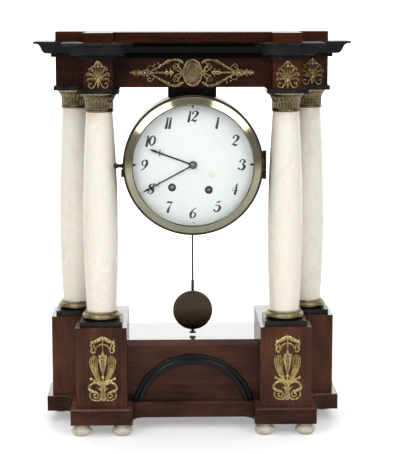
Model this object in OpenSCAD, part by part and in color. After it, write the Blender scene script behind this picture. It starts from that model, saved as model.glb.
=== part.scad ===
// Portico clock: alabaster columns on a stepped mahogany base carry an
// entablature, and a drum with a two-train movement hangs between them.
// The front faces -Y, +Z is up, and the origin lies on the table under the
// middle of the clock. Depths are counted from the front face of the front
// pedestals and are shifted once, by depth_mid, when a piece is placed.

/* [Base] */
// Height of a bun foot
foot_h = 16; // [12:0.5:26]
// Widest radius of a bun foot
foot_r = 13.5; // [10:0.5:16]
// Height of the plinth
plinth_h = 20.5; // [14:0.5:30]
// How far the plinth stands out from the walls above it
plinth_reveal = 7; // [3:0.5:10]
// Radius of the coves in the plinth's inner corners
cove_r = 15; // [6:0.5:20]
// Width of a pedestal, the same in both directions
pedestal_w = 66; // [60:0.5:68]
// Height of a pedestal
pedestal_h = 106.5; // [90:0.5:130]
// How far the deck lies below the tops of the pedestals
deck_drop = 24; // [10:0.5:35]
// Thickness of the deck
deck_t = 8; // [5:0.5:14]
// How far the centre panel lies behind the front pedestals
panel_setback = 36; // [28:0.5:45]
// Thickness of the centre panel
panel_t = 10; // [6:0.5:16]
// Thickness of the back board
back_t = 6; // [4:0.5:10]
// Outer radius of the arch moulding
arch_r = 81.5; // [70:0.5:84]
// Width of the arch moulding's band
arch_w = 12.5; // [8:0.5:16]
// Depth of the arch moulding's band, without its reeds
arch_t = 2.5; // [1.5:0.25:4]
// How far the arch's centre lies below the top of the plinth
arch_sink = 18.5; // [5:0.5:30]

/* [Columns] */
// Distance of a front column from the middle
column_x_front = 119; // [116:0.5:124]
// Distance of a rear column from the middle
column_x_rear = 154; // [148:0.5:160]
// Distance between the front and rear columns, front to back
column_pitch = 71; // [66:0.5:80]
// Width of the black plate under a column
base_plate_w = 54.5; // [52:0.5:58]
// Height of the black plate under a column
base_plate_h = 6.5; // [4:0.5:10]
// Radius of the gilt ring at a column's foot
ring_r = 25; // [24:0.5:26]
// Height of the gilt ring at a column's foot
ring_h = 11; // [8:0.5:16]
// Height of an alabaster shaft
shaft_h = 257.5; // [245:0.5:280]
// Radius of a shaft at its foot
shaft_r_foot = 19.3; // [17:0.1:21]
// Largest radius of a shaft
shaft_r_belly = 22.5; // [21:0.1:23]
// Radius of a shaft at its neck
shaft_r_neck = 17; // [15:0.1:18.5]
// Height of a capital
capital_h = 24; // [18:0.5:30]
// Largest radius of a capital
capital_r = 23.4; // [21:0.1:25]
// Width of the black plate on a capital
abacus_w = 52.5; // [50:0.5:58]
// Height of the black plate on a capital
abacus_h = 6; // [4:0.5:9]
// Radius of the iron rod inside a column
rod_r = 3; // [2:0.1:4]
// Length of the rod that goes into the wood at each end
rod_seat = 12; // [8:0.5:18]

/* [Entablature] */
// Width of a front frieze block
front_block_w = 37; // [34:0.5:44]
// Width of a rear frieze block
rear_block_w = 46.5; // [40:0.5:50]
// Depth of a frieze block over its column
block_d = 48; // [44:0.5:54]
// How far the middle of the frieze lies behind the front blocks
span_setback = 32.5; // [26:0.5:38]
// Height of the frieze
frieze_h = 37.5; // [30:0.5:44]
// Height of the bed fillet under the cornice
bed_h = 4.5; // [3:0.5:6]
// How far the bed fillet stands out from the frieze
bed_out = 5.5; // [3:0.5:8]
// Height of the cornice's ogee
ogee_h = 13; // [10:0.5:18]
// How far the foot of the ogee stands out from the frieze
ogee_foot = 11; // [9:0.5:13]
// Height of the cornice's top fillet
fillet_h = 3; // [2:0.5:5]
// How far the cornice stands out from the frieze
cornice_out = 26.5; // [22:0.5:29]
// Height of the parapet
parapet_h = 12; // [9:0.5:18]

/* [Drum and dial] */
// Outer radius of the drum
drum_r = 88.5; // [87:0.5:89]
// Wall of the drum
drum_wall = 2; // [1.5:0.1:2.5]
// Depth of the drum
drum_depth = 69; // [67:0.5:76]
// How far the front edge of the drum lies behind the front pedestals
drum_front = 15.2; // [12:0.1:17]
// Gap between the drum and the frieze, which the hanging block fills
hang_gap = 8.5; // [6:0.5:12]
// Width of the hanging block
hang_w = 63; // [50:0.5:76]
// Depth of the hanging block
hang_d = 36; // [28:0.5:40]
// How far the hanging block reaches over the drum
hang_hold = 14; // [10:0.5:30]
// How far the bezel stands out from the drum
bezel_over = 0.9; // [0.5:0.1:2.5]
// Depth of the bezel
bezel_depth = 9.6; // [9:0.1:11]
// Width of the bezel's sloping sight ring
sight_w = 7; // [5.5:0.1:8.5]
// Thickness of the enamel dial at its edge
dial_t = 2; // [1.5:0.1:3]
// How far the middle of the dial domes forward
dial_rise = 1.5; // [0.5:0.1:2]
// Thickness of the glass
glass_t = 1.5; // [1:0.1:2]
// How far the middle of the glass domes forward
glass_rise = 5.5; // [4:0.5:9]
// Gap between the tip of the hour hand and the bezel's opening
hour_short = 17.4; // [12:0.1:26]
// Gap between the tip of the minute hand and the bezel's opening
minute_short = 3.4; // [2:0.1:10]
// Thickness of a hand
hand_t = 0.8; // [0.5:0.1:1]
// Minutes past nine that the hands show
minutes_past_nine = 40.3; // [0:0.1:59]
// Length of the bezel's hinge
hinge_len = 36; // [28:0.5:44]
// Radius of the hinge barrel
hinge_r = 2; // [1.8:0.1:2.2]
// Radius of the hinge pin
hinge_pin_r = 1.1; // [0.8:0.1:1.2]
// Radius of the bezel's ball knob
knob_r = 3.6; // [3:0.1:4.5]

/* [Movement] */
// Radius of the movement's plates
plate_r = 62; // [60:0.5:70]
// Thickness of a plate
plate_t = 2.5; // [2:0.1:3]
// Room between the plates
plate_gap = 23.5; // [23.5:0.1:24.5]
// Room between the dial and the front plate, for the motion work
motion_gap = 9; // [9:0.1:10]
// Going winding hole, to the right of the dial's centre
going_u = -26.9; // [-28:0.1:-25]
// Going winding hole, above the dial's centre
going_v = -28.9; // [-30:0.1:-27]
// Strike winding hole, to the right of the dial's centre
strike_u = 20; // [19:0.1:21]
// Strike winding hole, above the dial's centre
strike_v = -32.2; // [-33.5:0.1:-31]
// Radius of a winding hole in the dial
winding_r = 4.8; // [4:0.1:5.5]
// Height of the pallet arbor over the dial's centre
pallet_v = 48; // [47:0.5:52]
// Tooth module of the barrels and their pinions
barrel_m = 0.5; // [0.45:0.01:0.52]
// Tooth module of the wheels in the trains
train_m = 0.45; // [0.42:0.01:0.46]
// Radius of the escape wheel
escape_r = 11.3; // [10:0.1:12]
// Radius of the bell
bell_r = 26; // [22:0.5:27]

/* [Pendulum] */
// How far the pendulum hangs behind the back plate
pendulum_back = 5.2; // [5:0.1:7]
// Radius of the pendulum rod
pendulum_rod_r = 1.15; // [0.7:0.05:1.3]
// Radius of the bob
bob_r = 26; // [22:0.5:28]
// Thickness of the bob at its middle
bob_t = 9; // [6:0.5:12]
// Height of the bob's centre over the deck
bob_lift = 33.3; // [31:0.5:38]
// Radius of the rating nut
nut_r = 4.4; // [3.5:0.1:6]

/* [Fits] */
// Radial clearance of a running pivot
running = 0.05; // [0.02:0.01:0.08]
// Radial clearance of a fixed rod in its hole
loose = 0.2; // [0.1:0.05:0.4]
// Gap between pieces that pass each other
pass = 0.4; // [0.3:0.05:0.5]

/* [Hidden] */
$fn = 64;

mahogany = [0.30, 0.10, 0.05];
dark_mahogany = [0.17, 0.06, 0.04];
ebonised = [0.07, 0.07, 0.07];
alabaster = [0.93, 0.89, 0.81];
gilt = [0.55, 0.44, 0.24];
bronze = [0.33, 0.27, 0.17];
brass = [0.72, 0.58, 0.30];
steel = [0.50, 0.50, 0.52];
enamel = [0.96, 0.96, 0.94];
clear_glass = [0.80, 0.90, 0.92, 0.3];
black_steel = [0.06, 0.06, 0.07];

// Heights, from the table up
plinth_top = foot_h + plinth_h;
pedestal_top = plinth_top + pedestal_h;
deck_top = pedestal_top - deck_drop;
deck_under = deck_top - deck_t;
ring_z = pedestal_top + base_plate_h;
shaft_z = ring_z + ring_h;
capital_z = shaft_z + shaft_h;
abacus_z = capital_z + capital_h;
frieze_z = abacus_z + abacus_h;
cornice_z = frieze_z + frieze_h;
ogee_z = cornice_z + bed_h;
fillet_z = ogee_z + ogee_h;
parapet_z = fillet_z + fillet_h;
clock_top = parapet_z + parapet_h;
dial_z = frieze_z - hang_gap - drum_r;

// Depths, from the front face of the front pedestals
column_y_front = pedestal_w/2;
column_y_rear = column_y_front + column_pitch;
rear_face = column_y_rear - pedestal_w/2;
back_face = column_y_rear + pedestal_w/2;
block_front = column_y_front - block_d/2;
span_front = block_front + span_setback;
rear_block_front = column_y_rear - block_d/2;
frieze_back = column_y_rear + block_d/2;
depth_mid = (block_front - cornice_out + back_face)/2;
panel_x = column_x_front - pedestal_w/2;
outer_x = column_x_rear + pedestal_w/2;

// The four columns: left to right, front row first
columns = [
    [-column_x_front, column_y_front],
    [column_x_front, column_y_front],
    [-column_x_rear, column_y_rear],
    [column_x_rear, column_y_rear]
];

// Feet under the corners of the plinth
foot_inset = pedestal_w/2 + plinth_reveal - foot_r;
feet_spots = [
    [column_x_front - foot_inset, column_y_front - foot_inset],
    [column_x_front + foot_inset, column_y_front - foot_inset],
    [column_x_rear + foot_inset, back_face - foot_r]
];

// Depths in the drum, from the front back
bezel_front = drum_front - pass - bezel_depth;
bezel_back = drum_front - pass;
bezel_seat = bezel_depth*0.56;
rim_w = 6;
bezel_r = drum_r + bezel_over;
sight_r = bezel_r - rim_w - sight_w;
hour_len = sight_r - hour_short;
minute_len = sight_r - minute_short;
dial_back = drum_front + 5.8;
dial_front = dial_back - dial_t - dial_rise;
dial_r = drum_r - drum_wall - 3;
hour_hand_back = dial_front - 1.3;
minute_hand_back = hour_hand_back - hand_t - 1;
front_plate_y = dial_back + motion_gap;
gap_front = front_plate_y + plate_t;
back_plate_y = gap_front + plate_gap;
plates_back = back_plate_y + plate_t;
pendulum_y = plates_back + pendulum_back + 1.5;
drum_back = drum_front + drum_depth;
bell_y = pendulum_y + 5;
bell_depth = 11;
hinge_x = bezel_r + hinge_r;
hinge_y = drum_front - pass/2;

// Pendulum heights
pallet_z = dial_z + pallet_v;
bob_z = deck_top + bob_lift;

// Tooth counts
barrel_teeth = 84;
second_pinion_teeth = 14;
second_teeth = 72;
centre_pinion_teeth = 12;
centre_teeth = 80;
third_pinion_teeth = 8;
third_teeth = 72;
escape_pinion_teeth = 8;
escape_teeth = 40;
strike_pinion_teeth = 12;
pin_wheel_teeth = 60;
cannon_teeth = 12;
minute_wheel_teeth = 36;
minute_pinion_teeth = 10;
hour_wheel_teeth = 40;
motion_m = 0.5;
hour_m = motion_m*(cannon_teeth + minute_wheel_teeth)/(minute_pinion_teeth + hour_wheel_teeth);

// Places of the arbors on the dial, to the right of and above its centre
centre = [0, 0];
going = [going_u, going_v];
strike = [strike_u, strike_v];
pallet = [0, pallet_v];
escape = [0, pallet_v - escape_r*sqrt(2)];
second = meet(going, spacing(barrel_teeth, second_pinion_teeth, barrel_m),
    centre, spacing(second_teeth, centre_pinion_teeth, barrel_m), 1);
third = meet(centre, spacing(centre_teeth, third_pinion_teeth, train_m),
    escape, spacing(third_teeth, escape_pinion_teeth, train_m), 1);
pin_wheel_spot = strike + polar(spacing(barrel_teeth, strike_pinion_teeth, barrel_m), 70);
minute_spot = polar(spacing(cannon_teeth, minute_wheel_teeth, motion_m), 90);
bell_spot = [28, -12];
hammer_spot = [52, 20];
hammer_head = bell_spot + polar(bell_r + 4.5, -15);
pillar_r = plate_r - 6;
pillar_angles = [35, 145, 190, 270, 335];

// Depths of the wheels between the plates
barrel_back = gap_front + 14;
barrel_gear = barrel_back - 2.5;
second_wheel_y = gap_front + 15.5;
centre_wheel_y = gap_front + 19;
third_wheel_y = gap_front + 2.5;
escape_wheel_y = gap_front + 7.5;
wheel_t = 1.2;
pivot_r = 0.8;
train_arbor_r = 1;
arbor_r = 1.4;
pipe_r = 2.2;
hour_pipe_r = 3.2;
square_w = 3.4;

// A point at a radius and an angle
function polar(r, a) = [r*cos(a), r*sin(a)];

// Centre distance of two gears in mesh
function spacing(teeth_a, teeth_b, m) = m*(teeth_a + teeth_b)/2;

// Where a circle about p meets a circle about q, on the side given by 1 or -1
function meet(p, rp, q, rq, side) =
    let (d = norm(q - p), along = (rp*rp - rq*rq + d*d)/(2*d))
    let (across = sqrt(rp*rp - along*along), u = (q - p)/d)
    p + u*along + side*across*[-u[1], u[0]];

// Direction from p to q, in degrees
function toward(p, q) = atan2(q[1] - p[1], q[0] - p[0]);

// Moves depths from the front pedestals' face to the middle of the clock
module placed() {
    translate([0, -depth_mid, 0]) children();
}

// Both sides, mirrored
module both_sides() {
    children();
    mirror([1, 0, 0]) children();
}

// A box between two corners
module box(low, high) {
    translate(low) cube(high - low);
}

// Stands a drawing up: its back lies at depth y and it grows towards the front
module facing(y, u = 0, v = 0) {
    translate([u, y, dial_z + v]) rotate([90, 0, 0]) children();
}

// A pointed leaf, standing on the origin
module leaf(length, width) {
    r = (length*length + width*width)/(4*width);
    translate([0, length/2]) intersection() {
        translate([r - width/2, 0]) circle(r);
        translate([width/2 - r, 0]) circle(r);
    }
}

// The points of a shallow arc over a chord, from its edge to its middle
function arc_points(edge_r, rise, base) =
    let (r = (edge_r*edge_r + rise*rise)/(2*rise), half = asin(edge_r/r))
    [for (i = [0:12]) let (a = half*(1 - i/12)) [r*sin(a), base + rise - r + r*cos(a)]];

// A flat ring
module ring(r, width) {
    difference() {
        circle(r);
        circle(r - width);
    }
}

// A part of a flat ring, between two angles less than a turn apart
module bow(r, width, from, to) {
    far = 3*r;
    third = (to - from)/3;
    intersection() {
        ring(r, width);
        polygon([[0, 0], polar(far, from), polar(far, from + third), polar(far, to - third), polar(far, to)]);
    }
}

// A straight bar between two points
module bar(p, q, width) {
    translate(p) rotate(toward(p, q)) translate([0, -width/2]) square([norm(q - p), width]);
}

// A gear's outline, with a tooth or a gap at an angle
module gear(teeth, m, at_angle = 0, gap = false) {
    steps = [-0.24, -0.09, 0.09, 0.24];
    heights = [-1.25, 0.8, 0.8, -1.25];
    points = [
        for (i = [0:teeth - 1], k = [0:3])
            polar(m*(teeth/2 + heights[k]), 360/teeth*(i + steps[k]))
    ];
    rotate(at_angle + (gap ? 180/teeth : 0)) polygon(points);
}

// A wheel's crossings: round windows between its hub and its rim
module crossings(teeth, m, count = 5) {
    r = m*teeth/2;
    for (i = [0:count - 1]) rotate(360/count*i) translate([r*0.52, 0]) circle(r*0.24);
}

// An arbor between the plates, with a pivot in each plate
module arbor(spot) {
    facing(back_plate_y - pass, spot[0], spot[1]) cylinder(h = plate_gap - 2*pass, r = train_arbor_r);
    facing(plates_back, spot[0], spot[1]) cylinder(h = plates_back - front_plate_y, r = pivot_r);
}

// A crossed wheel that grows backwards from depth y
module crossed_wheel(spot, y, teeth, m, at_angle, gap = false) {
    facing(y + wheel_t, spot[0], spot[1]) linear_extrude(wheel_t) difference() {
        gear(teeth, m, at_angle, gap);
        crossings(teeth, m);
    }
}

// A pinion between two depths
module pinion(spot, y_front, y_back, teeth, m, at_angle, gap = false) {
    facing(y_back, spot[0], spot[1]) linear_extrude(y_back - y_front) gear(teeth, m, at_angle, gap);
}

// Bun feet, turned from alabaster
module feet() {
    base_r = foot_r*0.6;
    collar_r = foot_r*0.74;
    bulge = foot_h*0.43;
    profile = [
        for (i = [0:10]) let (t = i/5 - 1)
            [base_r + (foot_r - base_r)*(1 - pow(abs(t), 1.6)), bulge*(1 + t)]
    ];
    outline = concat([[0, 0]], profile, [[collar_r, 2*bulge], [collar_r, foot_h], [0, foot_h]]);
    color(alabaster) placed() both_sides() for (spot = feet_spots)
        translate(spot) rotate_extrude() polygon(outline);
}

// A quarter cove that fills an inner corner of the plinth
module cove(x, y, turn) {
    translate([x, y]) rotate(turn) difference() {
        translate([-0.01, -0.01]) square(cove_r + 0.01);
        translate([cove_r, cove_r]) circle(cove_r);
    }
}

module plinth() {
    inner = panel_x + plinth_reveal;
    front = column_x_front + pedestal_w/2 + plinth_reveal;
    color(mahogany) placed() translate([0, 0, foot_h]) linear_extrude(plinth_h) {
        translate([-outer_x - plinth_reveal, rear_face - plinth_reveal])
            square([2*(outer_x + plinth_reveal), back_face - rear_face + plinth_reveal]);
        translate([-front, panel_setback - plinth_reveal])
            square([2*front, back_face - panel_setback + plinth_reveal]);
        both_sides() {
            translate([panel_x - plinth_reveal, -plinth_reveal])
                square([front - panel_x + plinth_reveal, back_face + plinth_reveal]);
            cove(panel_x - plinth_reveal, panel_setback - plinth_reveal, 180);
            cove(front, rear_face - plinth_reveal, 270);
        }
    }
}

// A side block of the base: the front and rear pedestals in one
module pedestal() {
    front_x = column_x_front + pedestal_w/2;
    hole_r = rod_r + loose;
    difference() {
        union() {
            box([panel_x, 0, plinth_top], [front_x, back_face, pedestal_top]);
            box([panel_x, rear_face, plinth_top], [outer_x, back_face, pedestal_top]);
        }
        for (spot = [columns[1], columns[3]])
            translate([spot[0], spot[1], pedestal_top - rod_seat]) cylinder(h = rod_seat + 1, r = hole_r);
    }
}

module pedestal_left() {
    color(mahogany) placed() mirror([1, 0, 0]) pedestal();
}

module pedestal_right() {
    color(mahogany) placed() pedestal();
}

module base_panel() {
    color(mahogany) placed()
        box([-panel_x, panel_setback, plinth_top], [panel_x, panel_setback + panel_t, deck_under]);
}

// A round arch of reeds on a flat band, cut off at the plinth
module arch_moulding() {
    bead_r = arch_w*0.13;
    cushion_w = arch_w*0.6;
    cushion_rise = arch_w*0.17;
    reach = arch_r + 1;
    cushion = [
        for (i = [0:10]) let (a = 18*i)
            [arch_r - arch_w + 0.4 + cushion_w/2*(1 - cos(a)), arch_t + cushion_rise*sin(a)]
    ];
    color(ebonised) placed() intersection() {
        translate([0, panel_setback, plinth_top - arch_sink]) rotate([90, 0, 0]) rotate_extrude() {
            translate([arch_r - arch_w, 0]) square([arch_w, arch_t]);
            translate([arch_r - bead_r, arch_t]) circle(bead_r);
            polygon(concat([[arch_r - arch_w + 0.4, arch_t/2]], cushion, [[arch_r - arch_w + 0.4 + cushion_w, arch_t/2]]));
        }
        box([-reach, 0, plinth_top], [reach, panel_setback, plinth_top + reach]);
    }
}

module deck() {
    color(mahogany) placed()
        box([-panel_x, panel_setback, deck_under], [panel_x, back_face, deck_top]);
}

module back_board() {
    color(dark_mahogany) placed()
        box([-panel_x, back_face - back_t, plinth_top], [panel_x, back_face, deck_under]);
}

// A torch between two feathered wings, under a canopy and on scrolls, for a pedestal's front
module pedestal_mount_drawing() {
    mount_torch();
    for (side = [0, 1]) mirror([side, 0]) {
        bar([-1, 39], [15, 33.5], 4.4);
        translate([13.8, 32]) leaf(8, 2.6);
        bar([14.6, 34], [14.6, 22], 2.4);
        translate([12.2, 22]) bow(3.6, 2.2, 170, 365);
        mount_wing();
        bar([2, -18], [14.5, -13.2], 2.4);
        translate([15.4, -12.7]) circle(2.4);
        translate([10, -24.6]) bow(7.6, 2.4, -75, 175);
        translate([9.4, -33.6]) bow(7.9, 2, -165, 40);
        translate([9.4, -33.2]) ring(4.1, 2.4);
    }
    translate([0, 22.5]) bow(8.4, 2, 15, 165);
    bar([0, 18], [0, 38], 1.6);
    translate([0, -11]) circle(2.7);
    bar([0, -20], [0, -10], 1.8);
    polygon([[-2.8, -17], [2.8, -17], [2.6, -27], [3.8, -34], [7.4, -41.5],
        [-7.4, -41.5], [-3.8, -34], [-2.6, -27]]);
}

// The torch of a pedestal's mount, with its flame
module mount_torch() {
    polygon([[-5.6, 20], [5.6, 20], [4.6, 12], [0.8, -9], [-0.8, -9], [-4.6, 12]]);
    translate([0, 17]) leaf(8, 5);
}

// The right wing of a pedestal's mount: three feathers from one root
module mount_wing() {
    for (feather = [[10, 33, 5], [16, 35, 6.4], [22, 32, 5]])
        translate([2.4, -18.5]) rotate(-feather[0]) leaf(feather[1], feather[2]);
}

module pedestal_mounts() {
    middle = plinth_top + pedestal_h*0.506;
    size = pedestal_h/106.5;
    color(gilt) placed() both_sides() translate([column_x_front, 0, middle]) rotate([90, 0, 0]) scale(size) {
        linear_extrude(2) pedestal_mount_drawing();
        translate([0, 0, 1]) linear_extrude(2.4) polygon([[-4.4, 19], [4.4, 19], [3.4, 12], [0.4, -6], [-0.4, -6],
            [-3.4, 12]]);
        for (side = [0, 1]) mirror([side, 0, 0]) {
            translate([0, 0, 1]) linear_extrude(2) translate([4.6, -11]) rotate(-16) leaf(25, 3.2);
            translate([15.4, -12.7, 1]) cylinder(h = 2.4, r = 1.7);
        }
        translate([0, -11, 1]) cylinder(h = 3, r = 2);
    }
}

module column_base_plates() {
    half = base_plate_w/2;
    color(ebonised) placed() for (spot = columns) translate([spot[0], spot[1], pedestal_top]) difference() {
        box([-half, -half, 0], [half, half, base_plate_h]);
        translate([0, 0, -1]) cylinder(h = base_plate_h + 2, r = rod_r + loose);
    }
}

// A torus with a thin fillet over it, at the foot of each shaft
module column_base_rings() {
    torus_r = ring_h*0.4;
    fillet_r = shaft_r_foot + 2;
    color(gilt) placed() for (spot = columns) translate([spot[0], spot[1], ring_z]) rotate_extrude() {
        difference() {
            union() {
                square([ring_r - torus_r, 2*torus_r]);
                translate([ring_r - torus_r, torus_r]) circle(torus_r);
                square([fillet_r, ring_h]);
            }
            translate([-ring_r, -1]) square([ring_r + rod_r + loose, ring_h + 2]);
        }
    }
}

// An alabaster shaft that swells from its foot to its belly and narrows to its neck
module shaft(index) {
    belly = 0.43;
    steps = 24;
    profile = [
        for (i = [0:steps]) let (t = i/steps)
            [t < belly ? shaft_r_foot + (shaft_r_belly - shaft_r_foot)*sin(90*t/belly)
                : shaft_r_neck + (shaft_r_belly - shaft_r_neck)*cos(90*(t - belly)/(1 - belly)), shaft_h*t]
    ];
    hole_r = rod_r + loose;
    color(alabaster) placed() translate([columns[index][0], columns[index][1], shaft_z])
        rotate_extrude() polygon(concat([[hole_r, 0]], profile, [[hole_r, shaft_h]]));
}

module column_front_left() {
    shaft(0);
}

module column_front_right() {
    shaft(1);
}

module column_rear_left() {
    shaft(2);
}

module column_rear_right() {
    shaft(3);
}

// A bell-shaped capital: a ring at the neck, a fluted band and a flared cup
module capital(index) {
    neck = shaft_r_neck + 0.3;
    ring_top = capital_h*0.2;
    band_top = capital_h*0.6;
    lip = capital_h*0.06;
    flutes = 24;
    flare = [
        for (i = [0:8]) let (t = i/8)
            [neck + 0.6 + (capital_r - neck - 0.6)*pow(t, 1.5), band_top + (capital_h - lip - band_top)*t]
    ];
    outline = concat([[rod_r + loose, 0], [neck + 1.4, 0], [neck + 1.4, ring_top], [neck, ring_top]],
        [[neck, band_top], [neck + 0.6, band_top]], flare, [[capital_r, capital_h], [rod_r + loose, capital_h]]);
    color(gilt) placed() translate([columns[index][0], columns[index][1], capital_z]) difference() {
        rotate_extrude() polygon(outline);
        for (i = [0:flutes - 1]) rotate(360/flutes*i) translate([neck + 0.9, 0, ring_top + 0.6])
            cylinder(h = band_top - ring_top - 1.2, r = 1.6);
    }
}

module capital_front_left() {
    capital(0);
}

module capital_front_right() {
    capital(1);
}

module capital_rear_left() {
    capital(2);
}

module capital_rear_right() {
    capital(3);
}

module abacus_plates() {
    half = abacus_w/2;
    color(ebonised) placed() for (spot = columns) translate([spot[0], spot[1], abacus_z]) difference() {
        box([-half, -half, 0], [half, half, abacus_h]);
        translate([0, 0, -1]) cylinder(h = abacus_h + 2, r = rod_r + loose);
    }
}

// Iron rods that tie the pedestals, columns and frieze together
module column_rods() {
    foot = pedestal_top - rod_seat;
    color(steel) placed() for (spot = columns) translate([spot[0], spot[1], foot])
        cylinder(h = frieze_z + rod_seat - foot, r = rod_r);
}

// The entablature's plan as blocks: [half width or left, right, front]
entablature_blocks = [
    [-column_x_front + front_block_w/2, column_x_front - front_block_w/2, span_front],
    [-column_x_front - front_block_w/2, -column_x_front + front_block_w/2, block_front],
    [column_x_front - front_block_w/2, column_x_front + front_block_w/2, block_front],
    [-column_x_rear - rear_block_w/2, column_x_rear + rear_block_w/2, rear_block_front]
];

// The plan of the entablature, extruded
module entablature_slab(z, height) {
    for (block = entablature_blocks)
        box([block[0], block[2], z], [block[1], frieze_back, z + height]);
}

module frieze() {
    color(dark_mahogany) placed() difference() {
        entablature_slab(frieze_z, frieze_h);
        for (spot = columns) translate([spot[0], spot[1], frieze_z - 1])
            cylinder(h = rod_seat + 1, r = rod_r + loose);
    }
}

// The cornice's section, as [how far out, how high]: a bed fillet, an ogee and a top fillet
function cornice_profile() =
    let (run = cornice_out - 3 - ogee_foot, steps = 10)
    concat([[bed_out, 0], [bed_out, bed_h]],
        [for (i = [0:steps]) let (t = i/steps)
            [ogee_foot + run*(t + 0.05*sin(360*t)), bed_h + ogee_h*(t - 0.11*sin(360*t))]],
        [[cornice_out, bed_h + ogee_h], [cornice_out, bed_h + ogee_h + fillet_h]]);

// One block of the cornice: its side section and its front section, crossed
module cornice_block(left, right, front) {
    section = cornice_profile();
    last = len(section) - 1;
    far = 400;
    across = concat([for (p = section) [right + p[0], p[1]]],
        [for (i = [0:last]) [left - section[last - i][0], section[last - i][1]]]);
    along = concat([[frieze_back, 0]], [for (p = section) [front - p[0], p[1]]],
        [[frieze_back, section[last][1]]]);
    intersection() {
        translate([0, far, 0]) rotate([90, 0, 0]) linear_extrude(2*far) polygon(across);
        rotate([90, 0, 90]) translate([0, 0, -far]) linear_extrude(2*far) polygon(along);
    }
}

module cornice() {
    color(ebonised) placed() translate([0, 0, cornice_z]) for (block = entablature_blocks)
        cornice_block(block[0], block[1], block[2]);
}

module parapet() {
    color(mahogany) placed() entablature_slab(parapet_z, parapet_h);
}

// A palmette: a fan of curled ribs over two scrolls, with a trefoil on a bar
module palmette_drawing() {
    for (side = [0, 1]) mirror([side, 0]) {
        for (rib = [[33, 12.5, 2.6], [61, 11.5, 2.4], [88, 10.5, 2.2]])
            translate([0.6, -6]) rotate(-rib[0]) {
                bar([0, 0], [0, rib[1]], 2.2);
                translate([rib[2] - 1.1, rib[1]]) bow(rib[2], 1.7, -90, 180);
            }
        translate([8, -12.4]) bow(4.2, 1.7, -175, 90);
        bar([4.6, -13], [1.6, -7.4], 1.9);
        translate([2.9, 11.2]) rotate(-26) leaf(6, 2.8);
    }
    bar([0, -8], [0, 12], 1.8);
    translate([0, -7]) circle(2.6);
    translate([0, -18.2]) leaf(12, 3.4);
    bar([-7.6, 9.4], [7.6, 9.4], 1.8);
    bar([-4.6, 11.4], [4.6, 11.4], 1.6);
    translate([0, 9.5]) leaf(8.5, 4);
}

module frieze_palmettes() {
    middle = frieze_z + frieze_h/2;
    strip_start = column_x_front + front_block_w/2;
    strip_end = column_x_rear + rear_block_w/2;
    rear_x = (strip_start + strip_end)/2;
    size = min((strip_end - strip_start)/39.75, frieze_h/37.5);
    spots = [
        [-column_x_front, block_front],
        [column_x_front, block_front],
        [rear_x, rear_block_front]
    ];
    color(gilt) placed() for (spot = spots) translate([spot[0], spot[1], middle]) rotate([90, 0, 0]) scale(size) {
        linear_extrude(1.8) palmette_drawing();
        linear_extrude(2.8) {
            translate([0, -7]) circle(2.6);
            bar([0, -8], [0, 12], 1);
        }
    }
}

// An oval medallion between leafy arms, for the middle of the frieze
module frieze_mount_drawing() {
    oval(13, 18.3);
    for (side = [0, 1]) mirror([side, 0]) {
        for (half = [0, 1]) mirror([0, half]) {
            translate([25, 3.4]) bow(14.4, 4.4, 25, 155);
            bar([36, 8.6], [52, 1.6], 3.2);
            translate([21.6, 8.4]) circle(3.9);
            bar([13, 3], [21, 8], 2.4);
            bar([13, 11], [17, 13], 5);
            translate([27, 0]) rotate(-45) leaf(6.5, 3);
        }
        bar([12, 0], [54, 0], 2.6);
        translate([24, 0]) rotate(-90) leaf(14, 6.4);
        translate([52, 0]) circle(3.6);
        translate([50, 0]) rotate(-90) leaf(30, 6.6);
        translate([60.5, 0]) circle(4.2);
        translate([75.4, 0]) circle(3.4);
        translate([66, 0]) rotate(-48) leaf(8, 3.2);
        translate([66, 0]) rotate(-132) leaf(8, 3.2);
    }
    for (turn = [0, 180]) rotate(turn) {
        translate([53.6, 7]) bow(4, 1.7, -120, 170);
        translate([43.4, -11.8]) circle(2);
        bar([43.4, -11.8], [41, -6.4], 1.8);
    }
}

// An upright oval, from its half width and half height
module oval(half_w, half_h) {
    polygon([for (a = [0:10:350]) [half_w*cos(a), half_h*sin(a)]]);
}

module frieze_mount() {
    middle = frieze_z + frieze_h/2;
    size = frieze_h/37.5;
    color(gilt) placed() translate([0, span_front, middle]) rotate([90, 0, 0]) scale(size) {
        linear_extrude(2) frieze_mount_drawing();
        linear_extrude(4) difference() {
            oval(12, 17.3);
            oval(9.6, 14.6);
        }
        for (u = [-21.6, 21.6], v = [-8.4, 8.4]) translate([u, v, 0]) cylinder(h = 3, r = 2.2);
    }
}

// A black block, hollowed to the drum, that hangs it from the frieze
module hanging_block() {
    front = drum_back - hang_hold;
    color(ebonised) placed() difference() {
        box([-hang_w/2, front, dial_z], [hang_w/2, front + hang_d, frieze_z]);
        facing(front + hang_d + 1) cylinder(h = hang_d + 2, r = drum_r);
    }
}

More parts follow.
